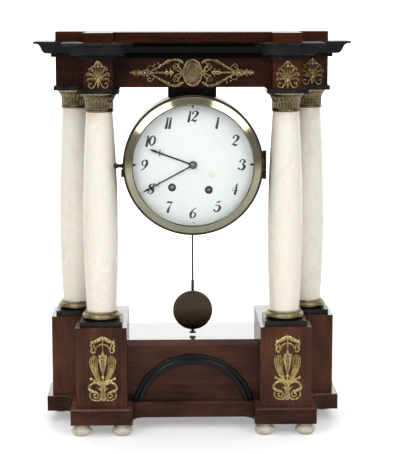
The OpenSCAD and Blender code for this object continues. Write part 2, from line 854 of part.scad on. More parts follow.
// The drum: a tube with a seat for the dial, hinge knuckles and a slot for the pendulum
module drum() {
    inner = drum_r - drum_wall;
    seat_r = dial_r - 4;
    slot_w = 30;
    slot_d = 12;
    knuckle = hinge_len/2 - 6 - pass;
    color(bronze) placed() {
        difference() {
            union() {
                facing(drum_back) difference() {
                    cylinder(h = drum_depth, r = drum_r);
                    translate([0, 0, -1]) cylinder(h = drum_depth + 2, r = inner);
                }
                facing(dial_back + 2) difference() {
                    cylinder(h = 2, r = inner + drum_wall/2);
                    translate([0, 0, -1]) cylinder(h = 4, r = seat_r);
                }
                for (side = [-1, 1]) translate([0, 0, dial_z + side*(6 + pass + knuckle/2) - knuckle/2]) {
                    translate([hinge_x, hinge_y, 0]) cylinder(h = knuckle, r = hinge_r);
                    box([drum_r - 8, drum_front, 0], [hinge_x, hinge_y + hinge_r, knuckle]);
                }
            }
            translate([hinge_x, hinge_y, dial_z - hinge_len]) cylinder(h = 2*hinge_len, r = hinge_pin_r);
            facing(drum_front + 4) translate([0, 0, -1]) cylinder(h = 6, r = inner);
            box([-slot_w/2, pendulum_y - slot_d/2, dial_z - drum_r - 5],
                [slot_w/2, pendulum_y + slot_d/2, dial_z - inner/2]);
        }
    }
}

// A pressed cover with a rim that pushes into the back of the drum
module rear_cover() {
    rim_r = drum_r - drum_wall;
    color(bronze) placed() {
        facing(drum_back + 1.5) cylinder(h = 1.5, r = drum_r);
        facing(drum_back) difference() {
            cylinder(h = 4, r = rim_r);
            translate([0, 0, -1]) cylinder(h = 6, r = rim_r - 1.5);
        }
    }
}

// The enamel dial: a shallow dome with a centre hole, two winding holes and three feet
module dial() {
    outline = concat([[0, 0], [dial_r, 0]], arc_points(dial_r, dial_rise, dial_t));
    color(enamel) placed() {
        facing(dial_back) difference() {
            rotate_extrude() polygon(outline);
            translate([0, 0, -1]) cylinder(h = 10, r = hour_pipe_r + 0.8);
            for (spot = [going, strike]) translate([spot[0], spot[1], -1]) cylinder(h = 10, r = winding_r);
        }
        for (a = [50, 130, 270]) let (p = polar(plate_r - 8, a))
            facing(front_plate_y, p[0], p[1]) cylinder(h = motion_gap, r = 1.6);
    }
}

// The bezel: a rounded rim, a sloping sight ring, and a knuckle on the hinge
module bezel() {
    nose = 2.6;
    seat = bezel_seat;
    sight_back = -1.4;
    lip = 0.8;
    rim = [
        for (i = [0:8]) let (a = 20*i - 10)
            [bezel_r - nose + nose*cos(a), bezel_depth - nose + nose*sin(a)]
    ];
    outline = concat([[bezel_r - rim_w, 0], [bezel_r, 0]], rim,
        [[bezel_r - rim_w, bezel_depth - nose], [bezel_r - rim_w, seat], [sight_r, sight_back]],
        [[sight_r, sight_back - lip], [sight_r + lip, sight_back - lip], [bezel_r - rim_w, seat - 2*lip]]);
    color(gilt) placed() difference() {
        union() {
            facing(bezel_back) rotate_extrude() polygon(outline);
            translate([hinge_x, hinge_y, dial_z - 6]) cylinder(h = 12, r = hinge_r);
            box([bezel_r - rim_w/2, hinge_y - hinge_r, dial_z - 6], [hinge_x, bezel_back, dial_z + 6]);
        }
        translate([hinge_x, hinge_y, dial_z - 10]) cylinder(h = 20, r = hinge_pin_r + running);
    }
}

// A domed glass that lies on the sight ring inside the bezel's rim
module glass() {
    edge_r = bezel_r - rim_w;
    inner = arc_points(edge_r, glass_rise, 0);
    outer = [for (p = inner) p + [0, glass_t]];
    last = len(inner) - 1;
    outline = concat(inner, [for (i = [0:last]) outer[last - i]]);
    color(clear_glass) placed() facing(bezel_back - bezel_seat) rotate_extrude() polygon(outline);
}

// A turned ball knob on the left of the bezel
module bezel_knob() {
    stem = 5.5;
    color(bronze) placed() translate([-bezel_r, bezel_front + bezel_depth/2, dial_z]) rotate([0, -90, 0]) {
        cylinder(h = stem + 1, r = knob_r*0.66);
        cylinder(h = 1.2, r = knob_r*0.9);
        translate([0, 0, stem + knob_r - 0.8]) sphere(knob_r);
    }
}

module hinge_pin() {
    color(steel) placed() translate([hinge_x, hinge_y, dial_z - hinge_len/2]) {
        cylinder(h = hinge_len, r = hinge_pin_r);
        translate([0, 0, hinge_len]) cylinder(h = 0.8, r = hinge_r);
    }
}

// A small spring catch on the left of the drum that keeps the bezel shut
module bezel_catch() {
    near = -bezel_r - pass;
    color(black_steel) placed() difference() {
        union() {
            box([near - 1.6, bezel_front + 3, dial_z - 15], [near, drum_front + 5, dial_z - 5]);
            box([near, drum_front + 1, dial_z - 15], [-drum_r + 6, drum_front + 5, dial_z - 5]);
        }
        facing(drum_back) cylinder(h = drum_depth + 2, r = drum_r);
    }
}

// Holes for the pivots of the train, at the places in a list
module pivot_holes(spots, r) {
    for (spot = spots) translate([spot[0], spot[1], -1]) cylinder(h = plate_t + 2, r = r + running);
}

train_spots = [second, third, escape, pin_wheel_spot, pallet, hammer_spot];

module plate(y, centre_r) {
    facing(y + plate_t) difference() {
        cylinder(h = plate_t, r = plate_r);
        pivot_holes(train_spots, pivot_r);
        pivot_holes([going, strike], arbor_r + 0.4);
        pivot_holes([centre], centre_r);
        for (a = pillar_angles) let (p = polar(pillar_r, a))
            translate([p[0], p[1], -1]) cylinder(h = plate_t + 2, r = 1.6);
    }
}

module front_plate() {
    color(brass) placed() difference() {
        plate(front_plate_y, arbor_r);
        facing(front_plate_y + plate_t + 1, minute_spot[0], minute_spot[1])
            cylinder(h = plate_t + 2, r = pivot_r);
    }
}

module back_plate() {
    color(brass) placed() plate(back_plate_y, pivot_r);
}

// Turned pillars that hold the plates apart, and straps that hold them in the drum
module plate_pillars() {
    color(brass) placed() for (a = pillar_angles) let (p = polar(pillar_r, a)) {
        facing(back_plate_y, p[0], p[1]) cylinder(h = plate_gap, r = 3);
        facing(plates_back + 1.5, p[0], p[1]) cylinder(h = plates_back + 1.5 - front_plate_y, r = 1.6);
        facing(plates_back + 1.5) rotate(a) linear_extrude(1.5)
            translate([pillar_r - 3.5, -3.5]) square([drum_r - drum_wall - 0.2 - pillar_r + 3.5, 7]);
    }
}

// A mainspring barrel with its teeth at the back, bored for its arbor
module barrel(spot, at_angle, shade) {
    wall_r = barrel_m*barrel_teeth/2 - 1.8;
    color(shade) placed() difference() {
        union() {
            facing(barrel_back, spot[0], spot[1]) cylinder(h = barrel_back - gap_front - 1, r = wall_r);
            pinion(spot, barrel_gear, barrel_back, barrel_teeth, barrel_m, at_angle);
        }
        facing(barrel_back - 1.5, spot[0], spot[1])
            cylinder(h = barrel_back - gap_front - 4, r = wall_r - 1.5);
        facing(barrel_back + 1, spot[0], spot[1]) cylinder(h = 30, r = arbor_r + 0.4 + running);
    }
}

module going_barrel() {
    barrel(going, toward(going, second), brass);
}

module strike_barrel() {
    barrel(strike, toward(strike, pin_wheel_spot), brass);
}

// A winding arbor: a shaft through the plates, a ratchet wheel and a square for the key
module winding_arbor(spot) {
    ratchet_teeth = 18;
    ratchet = [
        for (i = [0:ratchet_teeth - 1], k = [0:1])
            polar(k == 0 ? 8.6 : 7.2, 360/ratchet_teeth*(i + 0.15*k))
    ];
    square_front = dial_front + dial_rise;
    color(steel) placed() {
        facing(plates_back, spot[0], spot[1]) cylinder(h = plates_back - front_plate_y + 3.5, r = arbor_r + 0.4);
        facing(front_plate_y - pass, spot[0], spot[1]) linear_extrude(2) polygon(ratchet);
        facing(front_plate_y - 2, spot[0], spot[1]) linear_extrude(front_plate_y - 2 - square_front)
            square(square_w, center = true);
    }
}

module going_arbor() {
    winding_arbor(going);
}

module strike_arbor() {
    winding_arbor(strike);
}

// The second wheel carries the going barrel's turning to the centre
module second_wheel() {
    color(brass) placed() {
        arbor(second);
        pinion(second, barrel_gear - 0.4, barrel_back + 0.4, second_pinion_teeth, barrel_m,
            toward(second, going), true);
        crossed_wheel(second, second_wheel_y, second_teeth, barrel_m, toward(second, centre));
    }
}

// The centre wheel turns once an hour; its arbor reaches forward to the minute hand
module centre_wheel() {
    tip = minute_hand_back - hand_t - 1.6;
    color(brass) placed() {
        facing(plates_back) cylinder(h = plates_back - back_plate_y + 1, r = pivot_r);
        facing(back_plate_y - pass) cylinder(h = back_plate_y - pass - tip, r = arbor_r);
        facing(gap_front + plate_gap - 1) cylinder(h = plate_gap - 2, r = arbor_r + 0.4);
        pinion(centre, second_wheel_y - 0.5, second_wheel_y + wheel_t + 0.5, centre_pinion_teeth, barrel_m,
            toward(centre, second), true);
        crossed_wheel(centre, centre_wheel_y, centre_teeth, train_m, toward(centre, third));
    }
}

module third_wheel() {
    color(brass) placed() {
        arbor(third);
        pinion(third, centre_wheel_y - 0.5, centre_wheel_y + wheel_t + 0.5, third_pinion_teeth, train_m,
            toward(third, centre), true);
        crossed_wheel(third, third_wheel_y, third_teeth, train_m, toward(third, escape));
    }
}

// The escape wheel: hooked teeth on a crossed rim
module escape_wheel() {
    root_r = escape_r - 2;
    pitch = 360/escape_teeth;
    teeth = [
        for (i = [0:escape_teeth - 1], k = [0:2])
            polar(k == 1 ? escape_r : root_r, pitch*(i + [0, 0.55, 0.6][k]))
    ];
    color(brass) placed() {
        arbor(escape);
        pinion(escape, third_wheel_y - 0.5, third_wheel_y + wheel_t + 0.5, escape_pinion_teeth, train_m,
            toward(escape, third), true);
        facing(escape_wheel_y + 1, escape[0], escape[1]) linear_extrude(1) difference() {
            polygon(teeth);
            for (i = [0:4]) rotate(72*i) translate([root_r*0.55, 0]) circle(root_r*0.24);
        }
    }
}

// The anchor: two pallets over the escape wheel, and a crutch behind the back plate
module anchor() {
    clear = 1.2;
    arm_w = 2.6;
    reach = escape_r + clear + arm_w;
    crutch_len = 26;
    crutch_y = plates_back + 2.2;
    slot = pendulum_rod_r + 0.3;
    color(steel) placed() {
        arbor(pallet);
        facing(crutch_y, pallet[0], pallet[1]) cylinder(h = crutch_y - plates_back + 1, r = pivot_r);
        facing(escape_wheel_y + 1.2, escape[0], escape[1]) linear_extrude(1.4) intersection() {
            ring(reach, arm_w);
            polygon([[0, 0], polar(2*reach, 45), polar(2*reach, 135)]);
        }
        facing(escape_wheel_y + 1.2, pallet[0], pallet[1]) cylinder(h = 1.4, r = 3);
        facing(crutch_y, pallet[0], pallet[1]) linear_extrude(1.2) {
            circle(2.4);
            translate([-1.2, -crutch_len]) square([2.4, crutch_len]);
            translate([-slot - 1.4, -crutch_len - 3]) square([2*slot + 2.8, 4]);
        }
        for (side = [-1, 1]) translate([side*(slot + 0.7) - 0.7, crutch_y - 1.2, pallet_z - crutch_len - 3])
            cube([1.4, pendulum_y + 2 - crutch_y + 1.2, 3]);
    }
}

// The cannon pinion rides on the centre arbor and carries the minute hand
module cannon_pinion() {
    front = minute_hand_back - hand_t;
    color(steel) placed() difference() {
        union() {
            facing(front_plate_y - pass) cylinder(h = front_plate_y - pass - front, r = pipe_r);
            pinion(centre, front_plate_y - 3.6, front_plate_y - 0.8, cannon_teeth, motion_m,
                toward(centre, minute_spot));
        }
        facing(front_plate_y + 1) cylinder(h = 40, r = arbor_r);
    }
}

// The minute wheel turns on a stud and drives the hour wheel through its pinion
module minute_wheel() {
    wheel_y = front_plate_y - 2.8;
    hour_y = front_plate_y - 6.4;
    color(brass) placed() {
        facing(front_plate_y + plate_t, minute_spot[0], minute_spot[1])
            cylinder(h = front_plate_y + plate_t - hour_y, r = pivot_r - running);
        crossed_wheel(minute_spot, wheel_y, minute_wheel_teeth, motion_m, toward(minute_spot, centre), true);
        pinion(minute_spot, hour_y, wheel_y + 0.1, minute_pinion_teeth, hour_m, toward(minute_spot, centre));
    }
}

// The hour wheel's pipe turns on the cannon pinion and carries the hour hand
module hour_wheel() {
    wheel_y = front_plate_y - 5.8;
    front = hour_hand_back - hand_t;
    color(brass) placed() difference() {
        union() {
            facing(wheel_y + wheel_t) linear_extrude(wheel_t)
                gear(hour_wheel_teeth, hour_m, toward(centre, minute_spot), true);
            facing(wheel_y + wheel_t) cylinder(h = wheel_y + wheel_t - front, r = hour_pipe_r);
        }
        facing(front_plate_y) cylinder(h = 40, r = pipe_r + running);
    }
}

// The hour hand: a slender stem with a cross bar and a lance tip
module hour_hand() {
    color(black_steel) placed() facing(hour_hand_back) rotate(-(270 + minutes_past_nine/2))
        linear_extrude(hand_t) difference() {
            union() {
                circle(5);
                translate([-0.9, 0]) square([1.8, hour_len - 8]);
                translate([0, hour_len - 14]) leaf(14, 2.8);
                bar([-4, hour_len - 14.5], [4, hour_len - 13], 1.1);
                translate([0, hour_len - 17.5]) circle(1.3);
            }
            circle(hour_pipe_r);
        }
}

// The minute hand: a longer stem with two cross bars and a lance tip
module minute_hand() {
    color(black_steel) placed() facing(minute_hand_back) rotate(-6*minutes_past_nine)
        linear_extrude(hand_t) difference() {
            union() {
                circle(4.4);
                translate([-0.8, 0]) square([1.6, minute_len - 8]);
                translate([0, minute_len - 12]) leaf(12, 2.4);
                bar([-3.4, minute_len - 14.5], [3.4, minute_len - 10.5], 1);
                bar([-3.8, minute_len - 14], [3.8, minute_len - 18.5], 1);
                bar([-2.8, minute_len - 21.5], [2.8, minute_len - 18], 1);
                translate([0, minute_len - 24]) circle(1.2);
            }
            circle(pipe_r);
        }
}

// A bracket on the back plate, slit for the suspension spring
module suspension_cock() {
    slit = 1;
    reach = pendulum_y + 4;
    color(brass) placed() difference() {
        union() {
            box([-9, plates_back, pallet_z + 4], [9, plates_back + 2, pallet_z + 11]);
            box([-5, plates_back, pallet_z + 4], [5, reach, pallet_z + 8]);
        }
        box([-slit, pendulum_y - 3.5, pallet_z + 3], [slit, reach + 1, pallet_z + 12]);
    }
}

// The pendulum rod: a thin wire with a flat spring at its head and a sleeve over the bob
module pendulum_rod() {
    sleeve_top = bob_z + bob_r + 14;
    block_top = pallet_z - 3;
    color(bronze) placed() translate([0, pendulum_y, 0]) {
        translate([0, 0, bob_z - bob_r - 3.5]) cylinder(h = block_top - bob_z + bob_r + 3.5, r = pendulum_rod_r);
        translate([0, 0, bob_z + bob_r]) cylinder(h = sleeve_top - bob_z - bob_r, r = 1.9);
        box([-1.5, -3, block_top - 6], [1.5, 3, block_top]);
        box([-0.15, -2.5, block_top], [0.15, 2.5, pallet_z + 9]);
        translate([0, -2.5, pallet_z + 9.8]) rotate([-90, 0, 0]) cylinder(h = 5, r = 1.3);
    }
}

// The bob: a bronze lens with a turned edge, bored for the rod
module pendulum_bob() {
    edge = 3;
    swell = (bob_t - edge)/2;
    front = arc_points(bob_r, swell, edge/2);
    last = len(front) - 1;
    outline = concat(front, [for (i = [0:last]) [front[last - i][0], -front[last - i][1]]]);
    color(bronze) placed() translate([0, pendulum_y, bob_z]) difference() {
        rotate([90, 0, 0]) rotate_extrude() polygon(outline);
        translate([0, 0, -bob_r - 1]) cylinder(h = 2*bob_r + 2, r = pendulum_rod_r);
    }
}

// A turned rating nut under the bob
module rating_nut() {
    top = bob_z - bob_r - 0.3;
    color(bronze) placed() translate([0, pendulum_y, 0]) difference() {
        union() {
            translate([0, 0, top - 2.6]) cylinder(h = 2.6, r = nut_r*0.45);
            translate([0, 0, top - 4.4]) cylinder(h = 2, r = nut_r);
        }
        translate([0, 0, top - 10]) cylinder(h = 20, r = pendulum_rod_r + running);
    }
}

// The strike train's pin wheel, whose pins lift the hammer
module pin_wheel() {
    pins = 8;
    pin_circle = train_m*pin_wheel_teeth/2 - 2;
    color(brass) placed() {
        arbor(pin_wheel_spot);
        pinion(pin_wheel_spot, barrel_gear - 0.4, barrel_back + 0.4, strike_pinion_teeth, barrel_m,
            toward(pin_wheel_spot, strike), true);
        crossed_wheel(pin_wheel_spot, second_wheel_y, pin_wheel_teeth, train_m, 0);
        for (i = [0:pins - 1]) let (p = pin_wheel_spot + polar(pin_circle, 360/pins*i))
            facing(second_wheel_y + wheel_t + 1.4, p[0], p[1]) cylinder(h = 1.6, r = 0.6);
    }
}

// A shallow bell on a post from the back plate
module bell() {
    wall = 1.4;
    dome_r = (bell_r*bell_r + bell_depth*bell_depth)/(2*bell_depth);
    color(brass) placed() {
        facing(bell_y, bell_spot[0], bell_spot[1]) intersection() {
            translate([0, 0, dome_r - bell_depth]) difference() {
                sphere(dome_r);
                sphere(dome_r - wall);
            }
            translate([0, 0, -bell_depth]) cylinder(h = bell_depth, r = bell_r + 1);
        }
        facing(bell_y + bell_depth, bell_spot[0], bell_spot[1])
            cylinder(h = bell_y + bell_depth - plates_back, r = 2);
    }
}

// The hammer hangs from its arbor beside the bell
module hammer() {
    arm_y = bell_y + 3.5;
    arm = hammer_head - hammer_spot;
    color(steel) placed() {
        arbor(hammer_spot);
        facing(arm_y, hammer_spot[0], hammer_spot[1]) cylinder(h = arm_y - plates_back + 1, r = pivot_r);
        facing(arm_y, hammer_spot[0], hammer_spot[1]) linear_extrude(1.6) {
            circle(2.4);
            rotate(toward(hammer_spot, hammer_head)) translate([0, -0.8]) square([norm(arm), 1.6]);
        }
        facing(arm_y + 1.7, hammer_head[0], hammer_head[1]) cylinder(h = 5, r = 3.4);
    }
}

feet();
plinth();
pedestal_left();
pedestal_right();
base_panel();
arch_moulding();
deck();
back_board();
pedestal_mounts();
column_base_plates();
column_base_rings();
column_front_left();
column_front_right();
column_rear_left();
column_rear_right();
capital_front_left();
capital_front_right();
capital_rear_left();
capital_rear_right();
abacus_plates();
column_rods();
frieze();
cornice();
parapet();
frieze_palmettes();
frieze_mount();
hanging_block();
drum();
rear_cover();
dial();
bezel();
glass();
bezel_knob();
hinge_pin();
bezel_catch();
front_plate();
back_plate();
plate_pillars();
going_barrel();
going_arbor();
strike_barrel();
strike_arbor();
second_wheel();
centre_wheel();
third_wheel();
escape_wheel();
anchor();
cannon_pinion();
minute_wheel();
hour_wheel();
hour_hand();
minute_hand();
suspension_cock();
pendulum_rod();
pendulum_bob();
rating_nut();
pin_wheel();
bell();
hammer();
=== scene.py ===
import math

import bpy
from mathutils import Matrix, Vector


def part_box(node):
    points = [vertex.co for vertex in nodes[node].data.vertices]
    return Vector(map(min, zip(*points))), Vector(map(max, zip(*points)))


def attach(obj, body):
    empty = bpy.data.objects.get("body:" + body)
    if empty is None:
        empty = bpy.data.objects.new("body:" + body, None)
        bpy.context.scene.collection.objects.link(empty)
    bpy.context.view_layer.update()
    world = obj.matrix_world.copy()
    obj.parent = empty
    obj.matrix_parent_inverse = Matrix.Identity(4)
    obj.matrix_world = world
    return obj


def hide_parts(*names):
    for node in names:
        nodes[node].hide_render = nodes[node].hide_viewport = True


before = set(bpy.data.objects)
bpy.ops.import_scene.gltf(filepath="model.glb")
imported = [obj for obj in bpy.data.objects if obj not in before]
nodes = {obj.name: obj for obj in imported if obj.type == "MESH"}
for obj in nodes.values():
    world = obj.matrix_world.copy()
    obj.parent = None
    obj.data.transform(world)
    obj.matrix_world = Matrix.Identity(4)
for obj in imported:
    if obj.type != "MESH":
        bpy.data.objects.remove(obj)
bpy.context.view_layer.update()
print("frame loaded:", len(nodes), "nodes")


def middle(node):
    low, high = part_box(node)
    return [(a + b) / 2 for a, b in zip(low, high)]


# camera, floor and light

cameraSet = {
    "place": (-0.03594, -1.91773, 0.56705),
    "turn": (90 - 8.9701, 0.0656, -1.3742),   # degrees
    "focal": 1482.17,                         # pixels
    "pictureWide": 400,                       # pixels
    "sensor": 36,                             # millimetres
}


def makeCamera():
    bpy.ops.object.select_all(action="DESELECT")
    bpy.ops.object.camera_add(location=cameraSet["place"])
    camera = bpy.context.object
    camera.name = "photoCamera"
    camera.rotation_euler = [math.radians(a) for a in cameraSet["turn"]]
    camera.data.sensor_fit = "HORIZONTAL"
    camera.data.sensor_width = cameraSet["sensor"]
    camera.data.lens = cameraSet["focal"] / cameraSet["pictureWide"] * cameraSet["sensor"]
    bpy.context.scene.camera = camera
    print("camera placed")


lightSet = {
    # name: place, aim, width, height, watts
    "keyLeft": ((-1.3, -2.3, 1.7), (0, 0, 0.28), 1.1, 1.1, 24),
    "keyRight": ((1.3, -2.3, 1.7), (0, 0, 0.28), 1.1, 1.1, 19.5),
    "overhead": ((0, -0.3, 2.3), (0, -0.1, 0.2), 3.0, 2.6, 26),
}
worldSet = {"fill": 0.29, "white": 1.0}


def makeLights():
    for name, (place, aim, width, height, watts) in lightSet.items():
        bpy.ops.object.select_all(action="DESELECT")
        bpy.ops.object.light_add(type="AREA", location=place)
        lamp = bpy.context.object
        lamp.name = name
        lamp.data.shape = "RECTANGLE"
        lamp.data.size = width
        lamp.data.size_y = height
        lamp.data.energy = watts
        away = Vector(aim) - Vector(place)
        lamp.rotation_euler = away.to_track_quat("-Z", "Y").to_euler()
    world = bpy.data.worlds.new("studioWorld")
    world.use_nodes = True
    bpy.context.scene.world = world
    tree = world.node_tree
    rays = addNode(tree, "ShaderNodeLightPath", {})
    seen = addMath(tree, "MAXIMUM", rays["Is Camera Ray"], rays["Is Transmission Ray"])
    plug(tree.nodes["Background"], {
        "Color": (1, 1, 1),
        "Strength": addRange(tree, seen, 0, 1, worldSet["fill"], worldSet["white"]),
    })
    bpy.context.scene.view_settings.view_transform = "Standard"
    print("lights placed")


floorSet = {
    "size": 8.0, "paper": (0.93, 0.93, 0.93), "rough": 0.6,
    "lift": 0.32, "glossLift": 0.1, "fadeFrom": 0.7, "fadeTo": 1.7,
}


def makeFloor():
    bpy.ops.object.select_all(action="DESELECT")
    bpy.ops.mesh.primitive_plane_add(size=floorSet["size"], location=(0, 0, 0))
    floor = bpy.context.object
    floor.name = "paleFloor"
    material, tree, paper, place = newMaterial("palePaper")
    rays = addNode(tree, "ShaderNodeLightPath", {})
    # the floor goes white away from the clock
    away = addVectorMath(tree, "LENGTH", place)["Value"]
    lift = addRange(tree, away, floorSet["fadeFrom"], floorSet["fadeTo"], floorSet["lift"], worldSet["white"])
    seen = addMath(tree, "MULTIPLY", rays["Is Camera Ray"], lift)
    shone = addMath(tree, "MULTIPLY", rays["Is Glossy Ray"], floorSet["glossLift"])
    plug(paper, {
        "Base Color": floorSet["paper"], "Roughness": floorSet["rough"], "Emission Color": (1, 1, 1),
        "Emission Strength": addMath(tree, "ADD", seen, shone),
    })
    floor.data.materials.append(material)
    print("floor placed")


backdropSet = {"away": 1.6, "wide": 7.0, "tall": 3.2, "paper": (0.9, 0.9, 0.9)}


def makeBackdrop():
    bpy.ops.object.select_all(action="DESELECT")
    bpy.ops.mesh.primitive_plane_add(size=1, location=(0, 0, 0))
    wall = bpy.context.object
    wall.name = "whiteBackdrop"
    bpy.ops.object.mode_set(mode="EDIT")
    bpy.ops.mesh.select_all(action="SELECT")
    bpy.ops.transform.resize(value=(backdropSet["wide"], backdropSet["tall"], 1))
    bpy.ops.transform.rotate(value=math.radians(-90), orient_axis="X", center_override=(0, 0, 0))
    bpy.ops.transform.translate(value=(0, backdropSet["away"], backdropSet["tall"] / 2))
    bpy.ops.object.mode_set(mode="OBJECT")
    material, tree, paper = newMaterial("whiteWall")[:3]
    rays = addNode(tree, "ShaderNodeLightPath", {})
    seen = addMath(tree, "MAXIMUM", rays["Is Camera Ray"], rays["Is Glossy Ray"])
    seen = addMath(tree, "MAXIMUM", seen, rays["Is Transmission Ray"])
    # clear from behind, so that the clock can be seen from there
    behind = addNode(tree, "ShaderNodeNewGeometry", {})["Backfacing"]
    plug(paper, {
        "Base Color": backdropSet["paper"], "Emission Color": (1, 1, 1),
        # its own light on the object is no stronger than the world's
        "Emission Strength": addRange(tree, seen, 0, 1, worldSet["fill"], worldSet["white"]),
        "Alpha": addMath(tree, "SUBTRACT", 1.0, behind),
    })
    wall.data.materials.append(material)
    print("backdrop placed")


# shared effects

def plug(node, values):
    # inputs get a constant, or a link from another node's output
    for name, value in values.items():
        socket = node.inputs[name]
        if isinstance(value, bpy.types.NodeSocket):
            node.id_data.links.new(value, socket)
        elif socket.type == "RGBA":
            socket.default_value = (*value, 1)
        else:
            socket.default_value = value


def addNode(tree, kind, values):
    node = tree.nodes.new(kind)
    plug(node, values)
    return node.outputs


def newGroup(name, inputs, outputs):
    group = bpy.data.node_groups.new(name, "ShaderNodeTree")
    for label, kind in inputs:
        group.interface.new_socket(label, in_out="INPUT", socket_type=kind)
    for label in outputs:
        group.interface.new_socket(label, in_out="OUTPUT", socket_type="NodeSocketFloat")
    start = group.nodes.new("NodeGroupInput")
    return group, start.outputs, group.nodes.new("NodeGroupOutput")


def addNoise(tree, vector, scale, detail=4.0, rough=0.55, distortion=0.0):
    values = {"Vector": vector, "Scale": scale, "Detail": detail, "Roughness": rough,
              "Distortion": distortion}
    return addNode(tree, "ShaderNodeTexNoise", values)["Fac"]


def addRange(tree, value, low, high, toLow=0.0, toHigh=1.0):
    values = {"Value": value, "From Min": low, "From Max": high, "To Min": toLow, "To Max": toHigh}
    return addNode(tree, "ShaderNodeMapRange", values)["Result"]


def addMath(tree, operation, first, second=0.0):
    node = tree.nodes.new("ShaderNodeMath")
    node.operation = operation
    plug(node, {0: first, 1: second})
    return node.outputs[0]


def addVectorMath(tree, operation, first, second=(0, 0, 0)):
    node = tree.nodes.new("ShaderNodeVectorMath")
    node.operation = operation
    plug(node, {0: first, 1: second})
    return node.outputs


def addMix(tree, factor, first, second):
    mix = tree.nodes.new("ShaderNodeMix")
    mix.data_type = "RGBA"
    # inputs 6 and 7 and output 2 are the node's colours
    plug(mix, {"Factor": factor, 6: first, 7: second})
    return mix.outputs[2]


def addTint(tree, colour, factor, share, tint):
    # the tint over the colour at a share of the factor
    return addMix(tree, addMath(tree, "MULTIPLY", factor, share), colour, tint)


def splitPlace(tree, vector):
    return addNode(tree, "ShaderNodeSeparateXYZ", {0: vector})


def addStretch(tree, vector, scale, turn=(0, 0, 0)):
    values = {"Vector": vector, "Scale": scale, "Rotation": [math.radians(a) for a in turn]}
    return addNode(tree, "ShaderNodeMapping", values)["Vector"]


def makeWoodGroup():
    # grain runs along the incoming Z
    group, start, end = newGroup("mahoganyFigure", [("Place", "NodeSocketVector")],
                                 ["Figure", "Glow", "Streak", "Pores"])
    place = start["Place"]
    figure = addNoise(group, addStretch(group, place, (1, 1, 0.3)), 28, 5, 0.6, 1.6)
    glow = addNoise(group, addStretch(group, place, (1, 1, 0.4)), 13, 4, 0.55, 0.8)
    streak = addNoise(group, addStretch(group, place, (1, 1, 0.06)), 190, 5, 0.65, 0.6)
    pores = addNoise(group, addStretch(group, place, (1, 1, 0.03)), 1500, 2, 0.5)
    plug(end, {
        "Figure": addRange(group, figure, 0.34, 0.68),
        "Glow": addRange(group, glow, 0.44, 0.68),
        "Streak": addRange(group, streak, 0.36, 0.7),
        "Pores": addRange(group, pores, 0.35, 0.65),
    })
    return group


def makeSoilGroup():
    # dirt in soft blotches, and fine dust
    group, start, end = newGroup("ageMarks", [("Place", "NodeSocketVector"), ("Amount", "NodeSocketFloat")],
                                 ["Blotch", "Dust"])
    blotch = addRange(group, addNoise(group, start["Place"], 38, 6, 0.62, 0.6), 0.42, 0.72)
    dust = addRange(group, addNoise(group, start["Place"], 420, 3, 0.6), 0.5, 0.75)
    plug(end, {
        "Blotch": addMath(group, "MULTIPLY", blotch, start["Amount"]),
        "Dust": addMath(group, "MULTIPLY", dust, start["Amount"]),
    })
    return group


woodGroup = makeWoodGroup()
soilGroup = makeSoilGroup()


def newMaterial(name):
    material = bpy.data.materials.new(name)
    material.use_nodes = True
    tree = material.node_tree
    return material, tree, tree.nodes["Principled BSDF"], addNode(tree, "ShaderNodeTexCoord", {})["Object"]


def addGroup(tree, group, values):
    node = tree.nodes.new("ShaderNodeGroup")
    node.node_tree = group
    plug(node, values)
    return node.outputs


def addMarks(tree, place, amount):
    return addGroup(tree, soilGroup, {"Place": place, "Amount": amount})


def addBump(tree, height, strength, distance, shader):
    values = {"Height": height, "Strength": strength, "Distance": distance}
    plug(shader, {"Normal": addNode(tree, "ShaderNodeBump", values)["Normal"]})


# finishes

woodTones = {
    # dark, middle and light
    # leftBlock and rightBlock are a lighter and a darker copy of one mahogany: painted light and shade
    # between the two pedestals
    "leftBlock": ((0.018, 0.0052, 0.003), (0.080, 0.025, 0.0135), (0.250, 0.084, 0.040)),
    "rightBlock": ((0.014, 0.004, 0.0024), (0.058, 0.0185, 0.010), (0.175, 0.060, 0.029)),
    "base": ((0.010, 0.0034, 0.0024), (0.043, 0.0142, 0.0084), (0.142, 0.047, 0.023)),
    "frieze": ((0.009, 0.003, 0.002), (0.030, 0.0094, 0.0052), (0.115, 0.030, 0.0125)),
    "parapet": ((0.016, 0.004, 0.002), (0.048, 0.012, 0.005), (0.125, 0.036, 0.014)),
}
woodSet = {
    "up": (0, 0, 0), "level": (0, 90, 0),             # ways the grain runs
    "dull": 0.12, "sideCoat": 0.08, "coatRough": 0.05,
    # the pale colour, reach under the edge and middle stretch of a painted edge highlight
    "wearAndHighlight": (0.34, 0.19, 0.135), "edgeHighlightFrom": 0.0016, "edgeHighlightTo": 0.0003, "middle": (0.076, 0.084),
}


